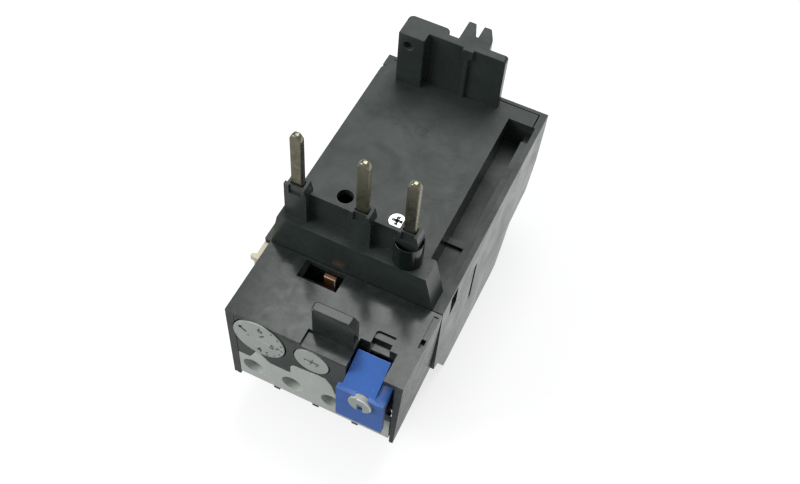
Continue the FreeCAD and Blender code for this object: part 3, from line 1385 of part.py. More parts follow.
def hook_bracket():
    item = body("hook_bracket")
    high = DECK + size("hook_high")
    left, step, block_right = size("hook_left"), size("hook_step"), size("hook_block_right")
    front, plate_front, plate_back = size("hook_front"), size("plate_front"), size("plate_back")
    plate_right = size("plate_right")
    add(item, "XY", [rectangle(left, front, step, BACK)], DECK, high)
    add(item, "XY", [rectangle(step, plate_front, block_right, BACK)], DECK, high)
    finish_edges(item, "Fillet", size("hook_round"),
                 lambda middle, along: abs(along.z) > 0.9 and near(middle.y, BACK))
    add(item, "XY", [rectangle(block_right, plate_front, plate_right, plate_back)], DECK, high)
    finish_edges(item, "Fillet", size("plate_round"),
                 lambda middle, along: abs(along.y) > 0.9 and near(middle.x, plate_right)
                 and near(middle.z, high))
    first, second, wide = size("prong_left"), size("prong_second"), size("prong_width")
    tip, root = size("prong_tip"), size("prong_root")
    flare = second + wide
    prongs = [
        (first, plate_back),
        (first, tip),
        (first + wide, tip),
        (first + wide + size("prong_slope"), root),
        (second, root),
        (second, tip),
        (flare, tip),
        (flare + size("barb_reach"), size("barb_level")),
        (flare + size("barb_foot"), plate_back),
    ]
    add(item, "XY", [prongs], size("prong_level"), high)
    rib_left, rib_wide = size("rib_left"), size("rib_width")
    rib_front = plate_front - size("rib_deep")
    add(item, "XY", [rectangle(rib_left, rib_front, rib_left + rib_wide, plate_front)], DECK, high)
    head_left = rib_left - (size("rib_head") - rib_wide) / 2
    head = rectangle(head_left, rib_front, head_left + size("rib_head"), plate_front)
    add(item, "XY", [head], high - size("rib_head_high"), high)
    hole = (size("hook_hole_x"), size("hook_hole_z"), size("hook_hole"))
    remove(item, "XZ", [hole], front, front + size("wall"))
    return item


def side_clip():
    item = body("side_clip")
    foot, top = size("clip_foot"), size("clip_top")
    outer = LEFT
    add(item, "XZ", [rectangle(outer, foot, COVER_LEFT, top)], -size("clip_front"), -size("clip_back"))
    hook = rectangle(outer - size("clip_hook"), top - size("wall"), outer, top)
    add(item, "XZ", [hook], -size("clip_front"), -size("clip_front") + size("wall"))
    return item


PARTS = [
    rear_housing(),
    deck_plate(),
    deck_screw(),
    front_cover(),
    fascia_panel(),
    terminal_shroud(),
    *dial_parts(),
    test_button(),
    reset_button(),
    mode_selector(),
    pin_block(),
    *[contact_pin(index) for index in range(3)],
    *[terminal_bar(index) for index in range(3)],
    *[bimetal_strip(index) for index in range(3)],
    *[heater_winding(index) for index in range(3)],
    main_screws(),
    main_clamps(),
    aux_base(),
    aux_plate("nc_plate_outer", AUX[0]),
    aux_plate("nc_plate_inner", AUX[1]),
    aux_plate("no_plate_inner", AUX[2]),
    aux_plate("no_plate_outer", AUX[3]),
    fixed_contacts(),
    contact_rocker(),
    contact_bridge("nc_bridge", -1),
    contact_bridge("no_bridge", 1),
    aux_screws(),
    aux_clamps(),
    mechanism_frame(),
    *pivot_pins(),
    trip_lever(),
    trip_slide(),
    *springs(),
    hook_bracket(),
    side_clip(),
]

doc.recompute()

for item in doc.Objects:
    for state in ("Invalid", "Error"):
        if state in item.State:
            raise RuntimeError(item.Label + " failed: " + state)

os.makedirs("parts", exist_ok=True)
for item in PARTS:
    shape = item.Shape
    if shape.isNull() or not shape.isValid() or shape.Volume <= 0:
        raise RuntimeError(item.Label + " has no valid shape")
    shape.exportStep("parts/" + item.Label + ".step")
    print(item.Label, len(shape.Solids), round(shape.Volume, 1))
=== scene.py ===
import json
import math

import bmesh
import bpy
from bpy.props import FloatProperty, FloatVectorProperty, IntProperty, PointerProperty
from bpy.types import Operator, Panel, PropertyGroup
from mathutils import Matrix, Vector

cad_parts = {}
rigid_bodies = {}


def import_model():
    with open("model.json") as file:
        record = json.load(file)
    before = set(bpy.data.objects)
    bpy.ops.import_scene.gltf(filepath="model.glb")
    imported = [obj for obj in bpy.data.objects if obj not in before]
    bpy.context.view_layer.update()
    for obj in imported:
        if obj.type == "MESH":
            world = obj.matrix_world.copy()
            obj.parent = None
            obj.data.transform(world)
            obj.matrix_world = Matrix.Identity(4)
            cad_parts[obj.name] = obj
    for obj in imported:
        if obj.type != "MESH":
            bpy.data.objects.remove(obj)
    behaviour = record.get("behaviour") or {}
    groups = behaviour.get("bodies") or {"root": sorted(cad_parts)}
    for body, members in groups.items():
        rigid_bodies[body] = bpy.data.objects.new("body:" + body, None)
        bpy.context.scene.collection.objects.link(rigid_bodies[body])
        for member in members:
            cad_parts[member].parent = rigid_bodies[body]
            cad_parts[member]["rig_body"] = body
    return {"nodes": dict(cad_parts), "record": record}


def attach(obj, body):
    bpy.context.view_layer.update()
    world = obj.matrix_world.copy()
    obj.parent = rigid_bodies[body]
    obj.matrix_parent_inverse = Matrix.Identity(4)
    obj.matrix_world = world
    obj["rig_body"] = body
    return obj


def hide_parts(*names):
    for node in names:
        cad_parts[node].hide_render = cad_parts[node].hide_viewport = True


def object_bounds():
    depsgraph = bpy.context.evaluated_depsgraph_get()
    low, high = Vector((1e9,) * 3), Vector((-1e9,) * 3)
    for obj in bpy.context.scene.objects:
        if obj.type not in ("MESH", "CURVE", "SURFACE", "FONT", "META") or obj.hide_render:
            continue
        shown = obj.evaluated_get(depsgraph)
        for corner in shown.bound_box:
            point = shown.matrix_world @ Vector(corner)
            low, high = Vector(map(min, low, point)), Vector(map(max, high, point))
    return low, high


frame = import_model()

bl_info = {
    "name": "Thermal overload relay",
    "version": (1, 0, 0),
    "blender": (4, 5, 0),
    "location": "View3D > Sidebar > Relay",
    "description": "Dresses a plug-in thermal overload relay in moulded plastic and plated metal",
    "category": "Object",
}

MM = 0.001
CAD_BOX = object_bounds()
NODES = frame["nodes"]
# Ends of the contact pins' node names.
PIN_NAMES = ("left", "middle", "right")

# Places on the relay, in millimetres: x to its right, y to its back, z up.

DIAL = (-12.65, 32.1)        # centre of the current dial, x and z
DIAL_FACE = -45.3            # its front face, y
DIAL_LIP = (-44.95, -42.5)   # the rim behind that face, y
DIAL_RIM = (7.4, 6.1)        # radius past the rim, and what is left of it
TEST = (0.5, 32.45)          # centre of the test button, x and z
TEST_FACE = -45.15
SELECTOR = (14.3, 30.5)      # centre of the mode selector, x and z
ARC_DEPTH = (-49.05, -48.8)  # the selector's painted highlight arc, y
ARC_RADII = (2.85, 2.45)     # outer and inner
ARC_DEGREES = range(-8, 105, 8)
ARC_EDGE = 0.06              # rounding of the arc's edges
EJECTOR = (-4.1, 21.8)       # centre of the ejector mark in the deck, x and y
EJECTOR_RADII = (1.5, 1.36)  # outer and inner
EJECTOR_DEPTH = (38.53, 39.0)  # from its bottom to above the deck, z
COLLAR = (11.5, -20.85)      # centre of the collar round the right tower, x and y
COLLAR_RADII = (3.4, 3.1)    # outside, and inside its cup
COLLAR_HEIGHT = (46.0, 56.2)  # z
CUP_FLOOR = 50.5             # where the cup starts, z
SCREW = (2.6, -6.2)          # centre of the deck screw, x and y
CROSS_HEIGHT = (39.0, 39.12)  # the painted shade of the screw's cross recess, z
CROSS_TURN = 0.35            # turn of the screw's cross, in radians
CROSS_ARM = [(1.25, 0.1), (0.3, 0.3), (-0.3, 0.3), (-1.25, 0.1),
             (-1.25, -0.1), (-0.3, -0.3), (0.3, -0.3), (1.25, -0.1)]
LEVER_EDGE = 0.05            # rounding of the painted highlight strips on the trip lever's edges
FOOT_BELOW = 20.0            # the left leg's foot lies below this height
FOOT_SLOPE = 0.132           # its rise towards the back
PAST = 0.5                   # how far a tool reaches past what it carves
PRINT_SINK = 0.01            # how far a printed line reaches into its face
FONT_SIZE = 1.4              # size of the built-in font whose digits stand 1 high
FONT_GROWTH = 0.05           # how much bolder than the font a numeral is

# Printed lines: name, start and end from the piece's centre, and width.
DIAL_STROKES = (
    ("pointer", (-4.9, 2.6), (-3.1, 1.2), 0.62),
    ("pointer_head", (-4.9, 2.0), (-4.2, 3.0), 0.5),
    ("dash", (0.3, 1.4), (1.5, 2.6), 0.42),
    ("tick", (1.5, -5.0), (2.1, -4.1), 0.3),
)
TEST_STROKES = (
    ("across", (-1.6, 0.1), (1.9, -0.2), 0.36),
    ("upright", (-0.3, -1.4), (0.4, 1.4), 0.34),
    ("arm", (0.9, -1.2), (1.7, -0.4), 0.28),
)
# Printed numerals: text, place from the dial's centre, height, and turn in radians.
DIAL_NUMERALS = (
    ("6", (0.5, 4.2), 1.9, 0.2),
    ("5", (3.3, -0.9), 1.8, -0.2),
    ("7", (4.6, -0.8), 1.4, -0.4),
    ("4", (-0.1, -4.6), 1.9, 0.1),
)


# Settings that a user would change.

class RelaySizes(PropertyGroup):
    """Lengths of the finish in metres, and the number and the angles of the dial's dots."""

    mould_edge: FloatProperty(
        name="Mould edge", description="Rounding of the housing's outer edges",
        default=0.35 * MM, min=0.0, unit="LENGTH", precision=5)
    fine_edge: FloatProperty(
        name="Fine edge", description="Rounding of the edges of small mouldings",
        default=0.2 * MM, min=0.0, unit="LENGTH", precision=5)
    metal_edge: FloatProperty(
        name="Metal edge", description="Rounding of the edges of stamped metal",
        default=0.12 * MM, min=0.0, unit="LENGTH", precision=5)
    print_depth: FloatProperty(
        name="Print height", description="Height of printed marks above their surface",
        default=0.02 * MM, min=0.0, unit="LENGTH", precision=5)
    pin_edge: FloatProperty(
        name="Pin edge", description="Rounding of the pins' rolled edges",
        default=0.42 * MM, min=0.0, unit="LENGTH", precision=5)
    dial_dots: IntProperty(
        name="Dial dots", description="Dots round the edge of the current dial", default=7, min=2)
    dot_ring: FloatProperty(
        name="Dot ring", description="Radius of the ring of dots",
        default=5.85 * MM, min=0.0, unit="LENGTH", precision=5)
    dot_radius: FloatProperty(
        name="Dot radius", description="Radius of a printed dot",
        default=0.27 * MM, min=0.0, unit="LENGTH", precision=5)
    dot_start: FloatProperty(
        name="Dot start", description="Angle of the first dot, from the right", default=0.96,
        unit="ROTATION")
    dot_step: FloatProperty(
        name="Dot step", description="Angle from a dot to the next", default=-0.367, unit="ROTATION")


class RelayColours(PropertyGroup):
    """Base colours of the finishes."""

    housing: FloatVectorProperty(
        name="Housing", description="Glass-filled plastic of the housing",
        default=(0.032, 0.041, 0.037), size=3, min=0.0, max=1.0, subtype="COLOR")
    cover: FloatVectorProperty(
        name="Front cover", description="Plastic of the front cover",
        default=(0.028, 0.035, 0.032), size=3, min=0.0, max=1.0, subtype="COLOR")
    light_grey: FloatVectorProperty(
        name="Light grey", description="Plastic of the shroud and the dials",
        default=(0.55, 0.585, 0.54), size=3, min=0.0, max=1.0, subtype="COLOR")
    blue: FloatVectorProperty(
        name="Blue", description="Plastic of the reset button",
        default=(0.045, 0.15, 0.50), size=3, min=0.0, max=1.0, subtype="COLOR")
    # Also the colour of the painted highlight strips on the trip lever's edges.
    cream: FloatVectorProperty(
        name="Cream", description="Plastic of the side clip",
        default=(0.72, 0.66, 0.50), size=3, min=0.0, max=1.0, subtype="COLOR")
    copper: FloatVectorProperty(
        name="Copper", description="Browned copper of the trip lever",
        default=(0.70, 0.30, 0.15), size=3, min=0.0, max=1.0, subtype="COLOR")


def sizes():
    return bpy.context.scene.relay_sizes


def colours():
    return bpy.context.scene.relay_colours


# Shared shader groups. Each puts out masks, values or normals only.

def shader_group(name, inputs, outputs):
    """A new shader node group with its interface; inputs are (name, kind, default)."""
    tree = bpy.data.node_groups.new(name, "ShaderNodeTree")
    for label, kind, default in inputs:
        socket = tree.interface.new_socket(name=label, in_out="INPUT", socket_type=kind)
        if default is not None:
            socket.default_value = default
    for label, kind in outputs:
        tree.interface.new_socket(name=label, in_out="OUTPUT", socket_type=kind)
    return tree, tree.nodes.new("NodeGroupInput"), tree.nodes.new("NodeGroupOutput")


def node(tree, kind, inputs=None, **settings):
    """A node with its settings, and its inputs set or linked by name or number."""
    item = tree.nodes.new(kind)
    for label, value in settings.items():
        setattr(item, label, value)
    for label, value in (inputs or {}).items():
        if isinstance(value, bpy.types.NodeSocket):
            tree.links.new(value, item.inputs[label])
        else:
            item.inputs[label].default_value = value
    return item


def maths(tree, operation, first, second=0.5, third=0.5, clamp=False):
    return node(tree, "ShaderNodeMath", {0: first, 1: second, 2: third},
                operation=operation, use_clamp=clamp).outputs[0]


def noise(tree, vector, scale, detail=2.0, rough=0.5, distort=0.0):
    return node(tree, "ShaderNodeTexNoise",
                {"Vector": vector, "Scale": scale, "Detail": detail, "Roughness": rough,
                 "Distortion": distort}).outputs[0]


def spread(tree, value, low, high, to_low=0.0, to_high=1.0):
    """A value mapped from one range to another, and clamped."""
    return node(tree, "ShaderNodeMapRange",
                {0: value, 1: low, 2: high, 3: to_low, 4: to_high}).outputs[0]


def vector_maths(tree, operation, inputs):
    return node(tree, "ShaderNodeVectorMath", inputs, operation=operation)


def upward(tree, normal):
    """The z part of a normal."""
    return node(tree, "ShaderNodeSeparateXYZ", {0: normal}).outputs[2]


def mould_grain():
    """Spark-eroded mould texture: fine pits over faint cloudy flow."""
    tree, start, end = shader_group(
        "mould_grain",
        [("Vector", "NodeSocketVector", None), ("Pitch", "NodeSocketFloat", 2600.0),
         ("Cloud", "NodeSocketFloat", 90.0)],
        [("Height", "NodeSocketFloat"), ("Mottle", "NodeSocketFloat"), ("Speck", "NodeSocketFloat")])
    where, pitch, cloud = start.outputs[0], start.outputs[1], start.outputs[2]
    fine = noise(tree, where, pitch, 3.0, 0.6)
    coarse = noise(tree, where, maths(tree, "MULTIPLY", pitch, 0.35), 2.0, 0.55)
    height = maths(tree, "MULTIPLY_ADD", fine, 0.6, maths(tree, "MULTIPLY", coarse, 0.4))
    flow = noise(tree, where, cloud, 4.0, 0.62, 0.8)
    specks = noise(tree, where, maths(tree, "MULTIPLY", pitch, 0.55), 1.0, 0.5)
    links = tree.links
    links.new(height, end.inputs[0])
    links.new(spread(tree, flow, 0.32, 0.68), end.inputs[1])
    links.new(spread(tree, specks, 0.70, 0.76), end.inputs[2])
    return tree


def edge_wear():
    """White along convex edges, where handling has rubbed the surface."""
    tree, start, end = shader_group(
        "edge_wear",
        [("Vector", "NodeSocketVector", None), ("Width", "NodeSocketFloat", 0.0004),
         ("Scale", "NodeSocketFloat", 700.0)],
        [("Mask", "NodeSocketFloat")])
    soft = node(tree, "ShaderNodeBevel", {"Radius": start.outputs[1]}, samples=4).outputs[0]
    true = node(tree, "ShaderNodeNewGeometry").outputs["Normal"]
    same = vector_maths(tree, "DOT_PRODUCT", {0: soft, 1: true}).outputs["Value"]
    turned = spread(tree, same, 0.995, 0.90)
    breaks = spread(tree, noise(tree, start.outputs[0], start.outputs[2], 3.0, 0.6), 0.38, 0.62)
    tree.links.new(maths(tree, "MULTIPLY", turned, breaks), end.inputs[0])
    return tree


def settled_dust():
    """Thin dust that lies on what faces up, in patches."""
    tree, start, end = shader_group(
        "settled_dust",
        [("Vector", "NodeSocketVector", None), ("Scale", "NodeSocketFloat", 260.0)],
        [("Mask", "NodeSocketFloat")])
    true = node(tree, "ShaderNodeNewGeometry").outputs["Normal"]
    lies = spread(tree, upward(tree, true), 0.3, 0.95)
    patches = spread(tree, noise(tree, start.outputs[0], start.outputs[1], 5.0, 0.7), 0.45, 0.75)
    tree.links.new(maths(tree, "MULTIPLY", lies, patches), end.inputs[0])
    return tree


GROUP_MAKERS = {"mould_grain": mould_grain, "edge_wear": edge_wear, "settled_dust": settled_dust}


def effect(tree, name, inputs):
    """A shared group placed in a material with its own values."""
    shared = bpy.data.node_groups.get(name) or GROUP_MAKERS[name]()
    return node(tree, "ShaderNodeGroup", inputs, node_tree=shared)


def lighten(colour, factor, lift=0.0):
    return tuple(min(1.0, part * factor + lift) for part in colour) + (1.0,)


def mixed(tree, factor, first, second):
    """Two colours mixed by a factor."""
    item = node(tree, "ShaderNodeMix", data_type="RGBA")
    for label, value in (("Factor_Float", factor), ("A_Color", first), ("B_Color", second)):
        socket = next(s for s in item.inputs if s.identifier == label)
        if isinstance(value, bpy.types.NodeSocket):
            tree.links.new(value, socket)
        else:
            socket.default_value = value
    return next(s for s in item.outputs if s.identifier == "Result_Color")


def blank(name):
    """A material with only its output and a Principled BSDF, and its object coordinates."""
    item = bpy.data.materials.new("relay_" + name)
    item.use_nodes = True
    tree = item.node_tree
    tree.nodes.clear()
    shader = tree.nodes.new("ShaderNodeBsdfPrincipled")
    out = tree.nodes.new("ShaderNodeOutputMaterial")
    tree.links.new(shader.outputs[0], out.inputs[0])
    where = tree.nodes.new("ShaderNodeTexCoord").outputs["Object"]
    return item, tree, shader, where


def smoother_walls(tree, rough, drop):
    """A roughness that drops on upright walls."""
    normal = node(tree, "ShaderNodeTexCoord").outputs["Normal"]
    upright = spread(tree, maths(tree, "ABSOLUTE", upward(tree, normal)), 0.7, 0.2)
    return maths(tree, "SUBTRACT", rough, maths(tree, "MULTIPLY", upright, drop))


def crowned(tree, facing, crown):
    """A shading normal that leans to the front where the surface faces up."""
    true = node(tree, "ShaderNodeNewGeometry").outputs["Normal"]
    up = spread(tree, upward(tree, true), 0.8, 0.98)
    lean = vector_maths(tree, "SCALE", {0: (0.0, -crown, 0.0), "Scale": up}).outputs[0]
    moved = vector_maths(tree, "ADD", {0: facing, 1: lean}).outputs[0]
    return vector_maths(tree, "NORMALIZE", {0: moved}).outputs[0]


# How much the roughness varies over the clouds, and how high the grain stands, in metres.
ROUGH_SWING, STAIN_SWING = 0.12, 0.2
GRAIN_HEIGHT, LINE_HEIGHT = 0.05 * MM, 0.03 * MM


def plastic(name, colour, rough, side=None, depth=0.25, cloud=90.0, mottle=0.25, wear=0.35, dust=0.12,
            crown=0.0):
    """Moulded plastic: mould grain, cloudy flow, rubbed edges and a trace of dust.

    side is the roughness of its upright walls, where the mould drags the surface smoother, and crown is
    how far its top leans to the front."""
    item, tree, shader, where = blank(name)
    grain = effect(tree, "mould_grain", {"Vector": where, "Cloud": cloud}).outputs
    rubbed = effect(tree, "edge_wear", {"Vector": where}).outputs[0]
    dusty = effect(tree, "settled_dust", {"Vector": where}).outputs[0]
    flow = mixed(tree, grain["Mottle"], lighten(colour, 1.0 - mottle), lighten(colour, 1.0 + mottle))
    specks = mixed(tree, maths(tree, "MULTIPLY", grain["Speck"], 0.5), flow, lighten(colour, 1.9, 0.01))
    edges = mixed(tree, maths(tree, "MULTIPLY", rubbed, wear), specks, lighten(colour, 1.8, 0.05))
    final = mixed(tree, maths(tree, "MULTIPLY", dusty, dust), edges, lighten(colour, 1.4, 0.08))
    tree.links.new(final, shader.inputs["Base Color"])
    shaded = spread(tree, grain["Mottle"], 0.0, 1.0, rough + ROUGH_SWING / 2, rough - ROUGH_SWING / 2)
    if side is not None:
        shaded = smoother_walls(tree, shaded, rough - side)
    tree.links.new(maths(tree, "SUBTRACT", shaded, maths(tree, "MULTIPLY", rubbed, 0.08)),
                   shader.inputs["Roughness"])
    bump = node(tree, "ShaderNodeBump",
                {"Strength": depth, "Distance": GRAIN_HEIGHT, "Height": grain["Height"]})
    facing = crowned(tree, bump.outputs[0], crown) if crown else bump.outputs[0]
    tree.links.new(facing, shader.inputs["Normal"])
    return item


def metal(name, colour, rough, stain=(0.2, 0.15, 0.1), stained=0.4, drawn=0.0, edge=None):
    """Rolled or plated metal with faint drawing lines, stains and rubbed edges.

    stain is the colour of its clouds and stained their strength, drawn is how far the lines stretch
    upwards, and edge is the colour of its rubbed edges."""
    item, tree, shader, where = blank(name)
    stretched = node(tree, "ShaderNodeMapping", {"Vector": where, "Scale": (1.0, 1.0, 1.0 - drawn)})
    lines = noise(tree, stretched.outputs[0], 4200.0, 2.0, 0.6)
    clouds = spread(tree, noise(tree, where, 420.0, 5.0, 0.65, 0.6), 0.42, 0.72)
    rubbed = effect(tree, "edge_wear", {"Vector": where, "Width": 0.0002}).outputs[0]
    dull = mixed(tree, maths(tree, "MULTIPLY", clouds, stained), lighten(colour, 1.0), stain + (1.0,))
    final = mixed(tree, maths(tree, "MULTIPLY", rubbed, 0.6), dull,
                  edge + (1.0,) if edge else lighten(colour, 1.25, 0.02))
    tree.links.new(final, shader.inputs["Base Color"])
    worn = spread(tree, clouds, 0.0, 1.0, rough, rough + STAIN_SWING)
    tree.links.new(maths(tree, "SUBTRACT", worn, maths(tree, "MULTIPLY", rubbed, 0.1)),
                   shader.inputs["Roughness"])
    shader.inputs["Metallic"].default_value = 1.0
    bump = node(tree, "ShaderNodeBump", {"Strength": 0.3, "Distance": LINE_HEIGHT, "Height": lines})
    tree.links.new(bump.outputs[0], shader.inputs["Normal"])
    return item


def finishes():
    """Every finish of the relay, by the record's slot names where it has one."""
    paint = colours()
    plastics = {
        "housing_plastic": dict(colour=paint.housing, rough=0.48, side=0.24, depth=0.3),
        "cover_plastic": dict(colour=paint.cover, rough=0.17, side=0.24, depth=0.06, cloud=230.0,
                              mottle=0.4, dust=0.25, crown=0.075),
        "light_grey_plastic": dict(colour=paint.light_grey, rough=0.45, depth=0.15, mottle=0.05,
                                   wear=0.15, dust=0.0),
        "button_plastic": dict(colour=[part * 0.8 for part in paint.light_grey], rough=0.42, depth=0.12,
                               mottle=0.08, wear=0.15, dust=0.0),
        "blue_plastic": dict(colour=paint.blue, rough=0.38, depth=0.12, mottle=0.08, wear=0.25,
                             dust=0.05),
        "cream_plastic": dict(colour=paint.cream, rough=0.45, mottle=0.06, wear=0.2, dust=0.05),
        "glossy_black": dict(colour=(0.006, 0.012, 0.009), rough=0.14, depth=0.05, mottle=0.1, wear=0.1,
                             dust=0.0),
        # Dark: on the deck screw it is painted shade for the cross recess.
        "inner_plastic": dict(colour=(0.012, 0.020, 0.016), rough=0.6, depth=0.3),
        # Near white: the painted highlight on the mode selector's arc.
        "painted_highlight_white": dict(colour=(0.78, 0.84, 0.85), rough=0.3, depth=0.05, mottle=0.05, wear=0.0,
                          dust=0.0),
        "ink": dict(colour=(0.075, 0.08, 0.075), rough=0.6, depth=0.1, mottle=0.2, wear=0.0, dust=0.0),
        "faded_ink": dict(colour=(0.16, 0.165, 0.155), rough=0.6, depth=0.1, mottle=0.3, wear=0.0,
                          dust=0.0),
    }
    metals = {
        "pin_metal": dict(colour=(0.30, 0.29, 0.21), rough=0.26, stain=(0.16, 0.13, 0.09), stained=0.55,
                          drawn=0.85),
        "bright_steel": dict(colour=(0.82, 0.83, 0.82), rough=0.2, stain=(0.45, 0.44, 0.42),
                             stained=0.3),
        "dull_zinc": dict(colour=(0.30, 0.30, 0.27), rough=0.42, stain=(0.12, 0.11, 0.09)),
        "spring_steel": dict(colour=(0.55, 0.55, 0.55), rough=0.3),
        "bimetal": dict(colour=(0.48, 0.45, 0.42), rough=0.4, drawn=0.8),
        "contact_brass": dict(colour=(0.70, 0.50, 0.22), rough=0.32),
        "contact_silver": dict(colour=(0.85, 0.85, 0.83), rough=0.28),
        "copper_strip": dict(colour=paint.copper, rough=0.5, stain=(0.4, 0.16, 0.08),
                             edge=(0.95, 0.85, 0.62)),
    }
    made = {name: plastic(name, **settings) for name, settings in plastics.items()}
    made.update((name, metal(name, **settings)) for name, settings in metals.items())
    return made


# Mesh helpers.

def slot_of(name):
    """The material slot that the record gives a node."""
    for row in frame["record"]["subparts"]:
        if row["node"] == name:
            return row["material_slot"]
    raise RuntimeError("no slot for " + name)


def body_of(name):
    return NODES[name]["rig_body"]


def new_object(name, mesh):
    item = bpy.data.objects.new(name, mesh)
    bpy.context.scene.collection.objects.link(item)
    return item


def object_from(name, form):
    """An object from a bmesh, which is freed."""
    mesh = bpy.data.meshes.new(name)
    form.to_mesh(mesh)
    form.free()
    return new_object(name, mesh)


def discard(item):
    """Remove an object and its mesh."""
    mesh = item.data
    bpy.data.objects.remove(item)
    bpy.data.meshes.remove(mesh)


def solid_copy(name, source):
    """A merged copy of a CAD node, with its flat faces joined up."""
    form = bmesh.new()
    form.from_mesh(NODES[source].data)
    bmesh.ops.remove_doubles(form, verts=form.verts, dist=2e-6)
    bmesh.ops.dissolve_limit(form, angle_limit=math.radians(0.6), verts=form.verts, edges=form.edges,
                             use_dissolve_boundaries=False)
    return object_from(name, form)


def prism(name, plane, outline, start, end):
    """A closed prism: an outline in the XZ or XY plane, run along the third axis, in millimetres."""
    form = bmesh.new()
    rings = []
    for level in (start, end):
        places = [(u, level, v) if plane == "XZ" else (u, v, level) for u, v in outline]
        rings.append([form.verts.new(Vector(place) * MM) for place in places])
        form.faces.new(rings[-1])
    first, last = rings
    for index in range(len(outline)):
        form.faces.new((first[index - 1], first[index], last[index], last[index - 1]))
    bmesh.ops.recalc_face_normals(form, faces=form.faces)
    return object_from(name, form)


def arc(centre, radius, turns):
    """Points on an arc, at angles in radians."""
    return [(centre[0] + radius * math.cos(turn), centre[1] + radius * math.sin(turn))
            for turn in turns]


def circle(centre, radius, count=40):
    return arc(centre, radius, [2 * math.pi * step / count for step in range(count)])


def box(left, low, right, high):
    return [(left, low), (right, low), (right, high), (left, high)]


# Forms that the scene adds to a node or carves from it: plane, outline, start and end, in millimetres.
FORMS = {
    # Closes the cover's front edge over the seat of the dial.
    "bridge": ("XZ", box(-16.2, 38.26, -9.1, 38.6), -44.9, -42.9),
    # Fills out the foot of the cover's left leg.
    "left_leg": ("XZ", [(-20.95, 37.0), (-20.75, 10.1), (-19.4, 10.1), (-19.4, 37.0)], -45.0, -25.0),
    # Shallow floor of the well behind the reset slot.
    "well_floor": ("XY", [(9.0, -38.1), (17.7, -38.1), (17.7, -37.7), (15.9, -37.7), (15.9, -36.0),
                          (11.3, -36.0), (11.3, -37.7), (9.0, -37.7)], 35.2, 36.2),
    # Takes off the front of the side clip, which ends in a bent tip.
    "clip_end": ("XY", box(-25.0, -33.0, -20.0, -29.6), 33.0, 39.0),
    "clip_tip": ("XY", [(-22.3, -29.5), (-23.6, -29.3), (-23.6, -28.6), (-22.3, -28.0)], 35.6, 37.3),
    # Painted highlight: cream strips on the trip lever's front, along its top and down its right side.
    "lever_highlight": ("XZ", [(-6.0, 37.02), (-6.0, 37.36), (-3.15, 37.36), (-3.15, 34.6), (-3.4, 34.6),
                          (-3.4, 37.02)], -26.72, -26.5),
}


def shaped(name):
    return prism(name, *FORMS[name])


def baked(item):
    """The object's evaluated mesh takes the place of its mesh and modifiers."""
    graph = bpy.context.evaluated_depsgraph_get()
    mesh = bpy.data.meshes.new_from_object(item.evaluated_get(graph))
    item.modifiers.clear()
    old = item.data
    item.data = mesh
    if old.users == 0:
        bpy.data.meshes.remove(old)
    return item


def combined(item, tools, operation):
    """The object after a boolean with each tool, and the tools removed."""
    for tool in tools:
        change = item.modifiers.new("shape", "BOOLEAN")
        change.operation = operation
        change.solver = "EXACT"
        change.object = tool
    baked(item)
    for tool in tools:
        discard(tool)
    return item


def carved(item, *tools):
    return combined(item, tools, "DIFFERENCE")


def ring(name, plane, centre, radii, ends, count=40):
    """A closed ring: a prism on the outer circle, with its core taken away."""
    whole = prism(name, plane, circle(centre, radii[0], count), *ends)
    core = prism(name + "_core", plane, circle(centre, radii[1], count), ends[0] - PAST, ends[1] + PAST)
    return carved(whole, core)


# An edge is rounded above this angle, and a face this large, in square metres, stays flat at its seams.
SHARP = math.radians(28.0)
FLAT_AREA = 4.0 * MM * MM


def rounded(item, radius, segments=2):
    """Every sharp edge rounded, with smooth shading held flat on large faces."""
    form = bmesh.new()
    form.from_mesh(item.data)
    for edge in form.edges:
        faces = edge.link_faces
        if len(faces) == 2 and math.radians(1.0) < edge.calc_face_angle() < SHARP:
            edge.smooth = min(face.calc_area() for face in faces) < FLAT_AREA
    form.to_mesh(item.data)
    form.free()
    bevel = item.modifiers.new("edges", "BEVEL")
    bevel.width = radius
    bevel.segments = segments
    bevel.limit_method = "ANGLE"
    bevel.angle_limit = SHARP
    bevel.use_clamp_overlap = True
    for face in item.data.polygons:
        face.use_smooth = True
    flat = item.modifiers.new("flat_faces", "WEIGHTED_NORMAL")
    flat.mode = "FACE_AREA"
    flat.weight = 70
    flat.keep_sharp = True
    return baked(item)


def dressed(item, finish, body, replaced=()):
    """A finished piece: one finish, riding on a body, in place of CAD nodes."""
    item.data.materials.clear()
    item.data.materials.append(bpy.data.materials["relay_" + finish])
    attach(item, body)
    if replaced:
        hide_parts(*replaced)
    return item


def moulding(name, radius, *tools, added=(), segments=2, finish=None):
    """A CAD node redrawn with rounded edges, with forms added and carving tools taken away."""
    item = solid_copy(name + "_moulded", name)
    if added:
        combined(item, added, "UNION")
    if tools:
        carved(item, *tools)
    rounded(item, radius, segments)
    return dressed(item, finish or slot_of(name), body_of(name), (name,))


def stroke(name, centre, start, end, width, face, depth):
    """A printed line on a front face, its ends given from a centre, in millimetres."""
    first, last = Vector(centre) + Vector(start), Vector(centre) + Vector(end)
    along = last - first
    side = Vector((-along.y, along.x)).normalized() * width / 2
    outline = [tuple(first - side), tuple(last - side), tuple(last + side), tuple(first + side)]
    return prism(name, "XZ", outline, face - depth, face + PRINT_SINK)


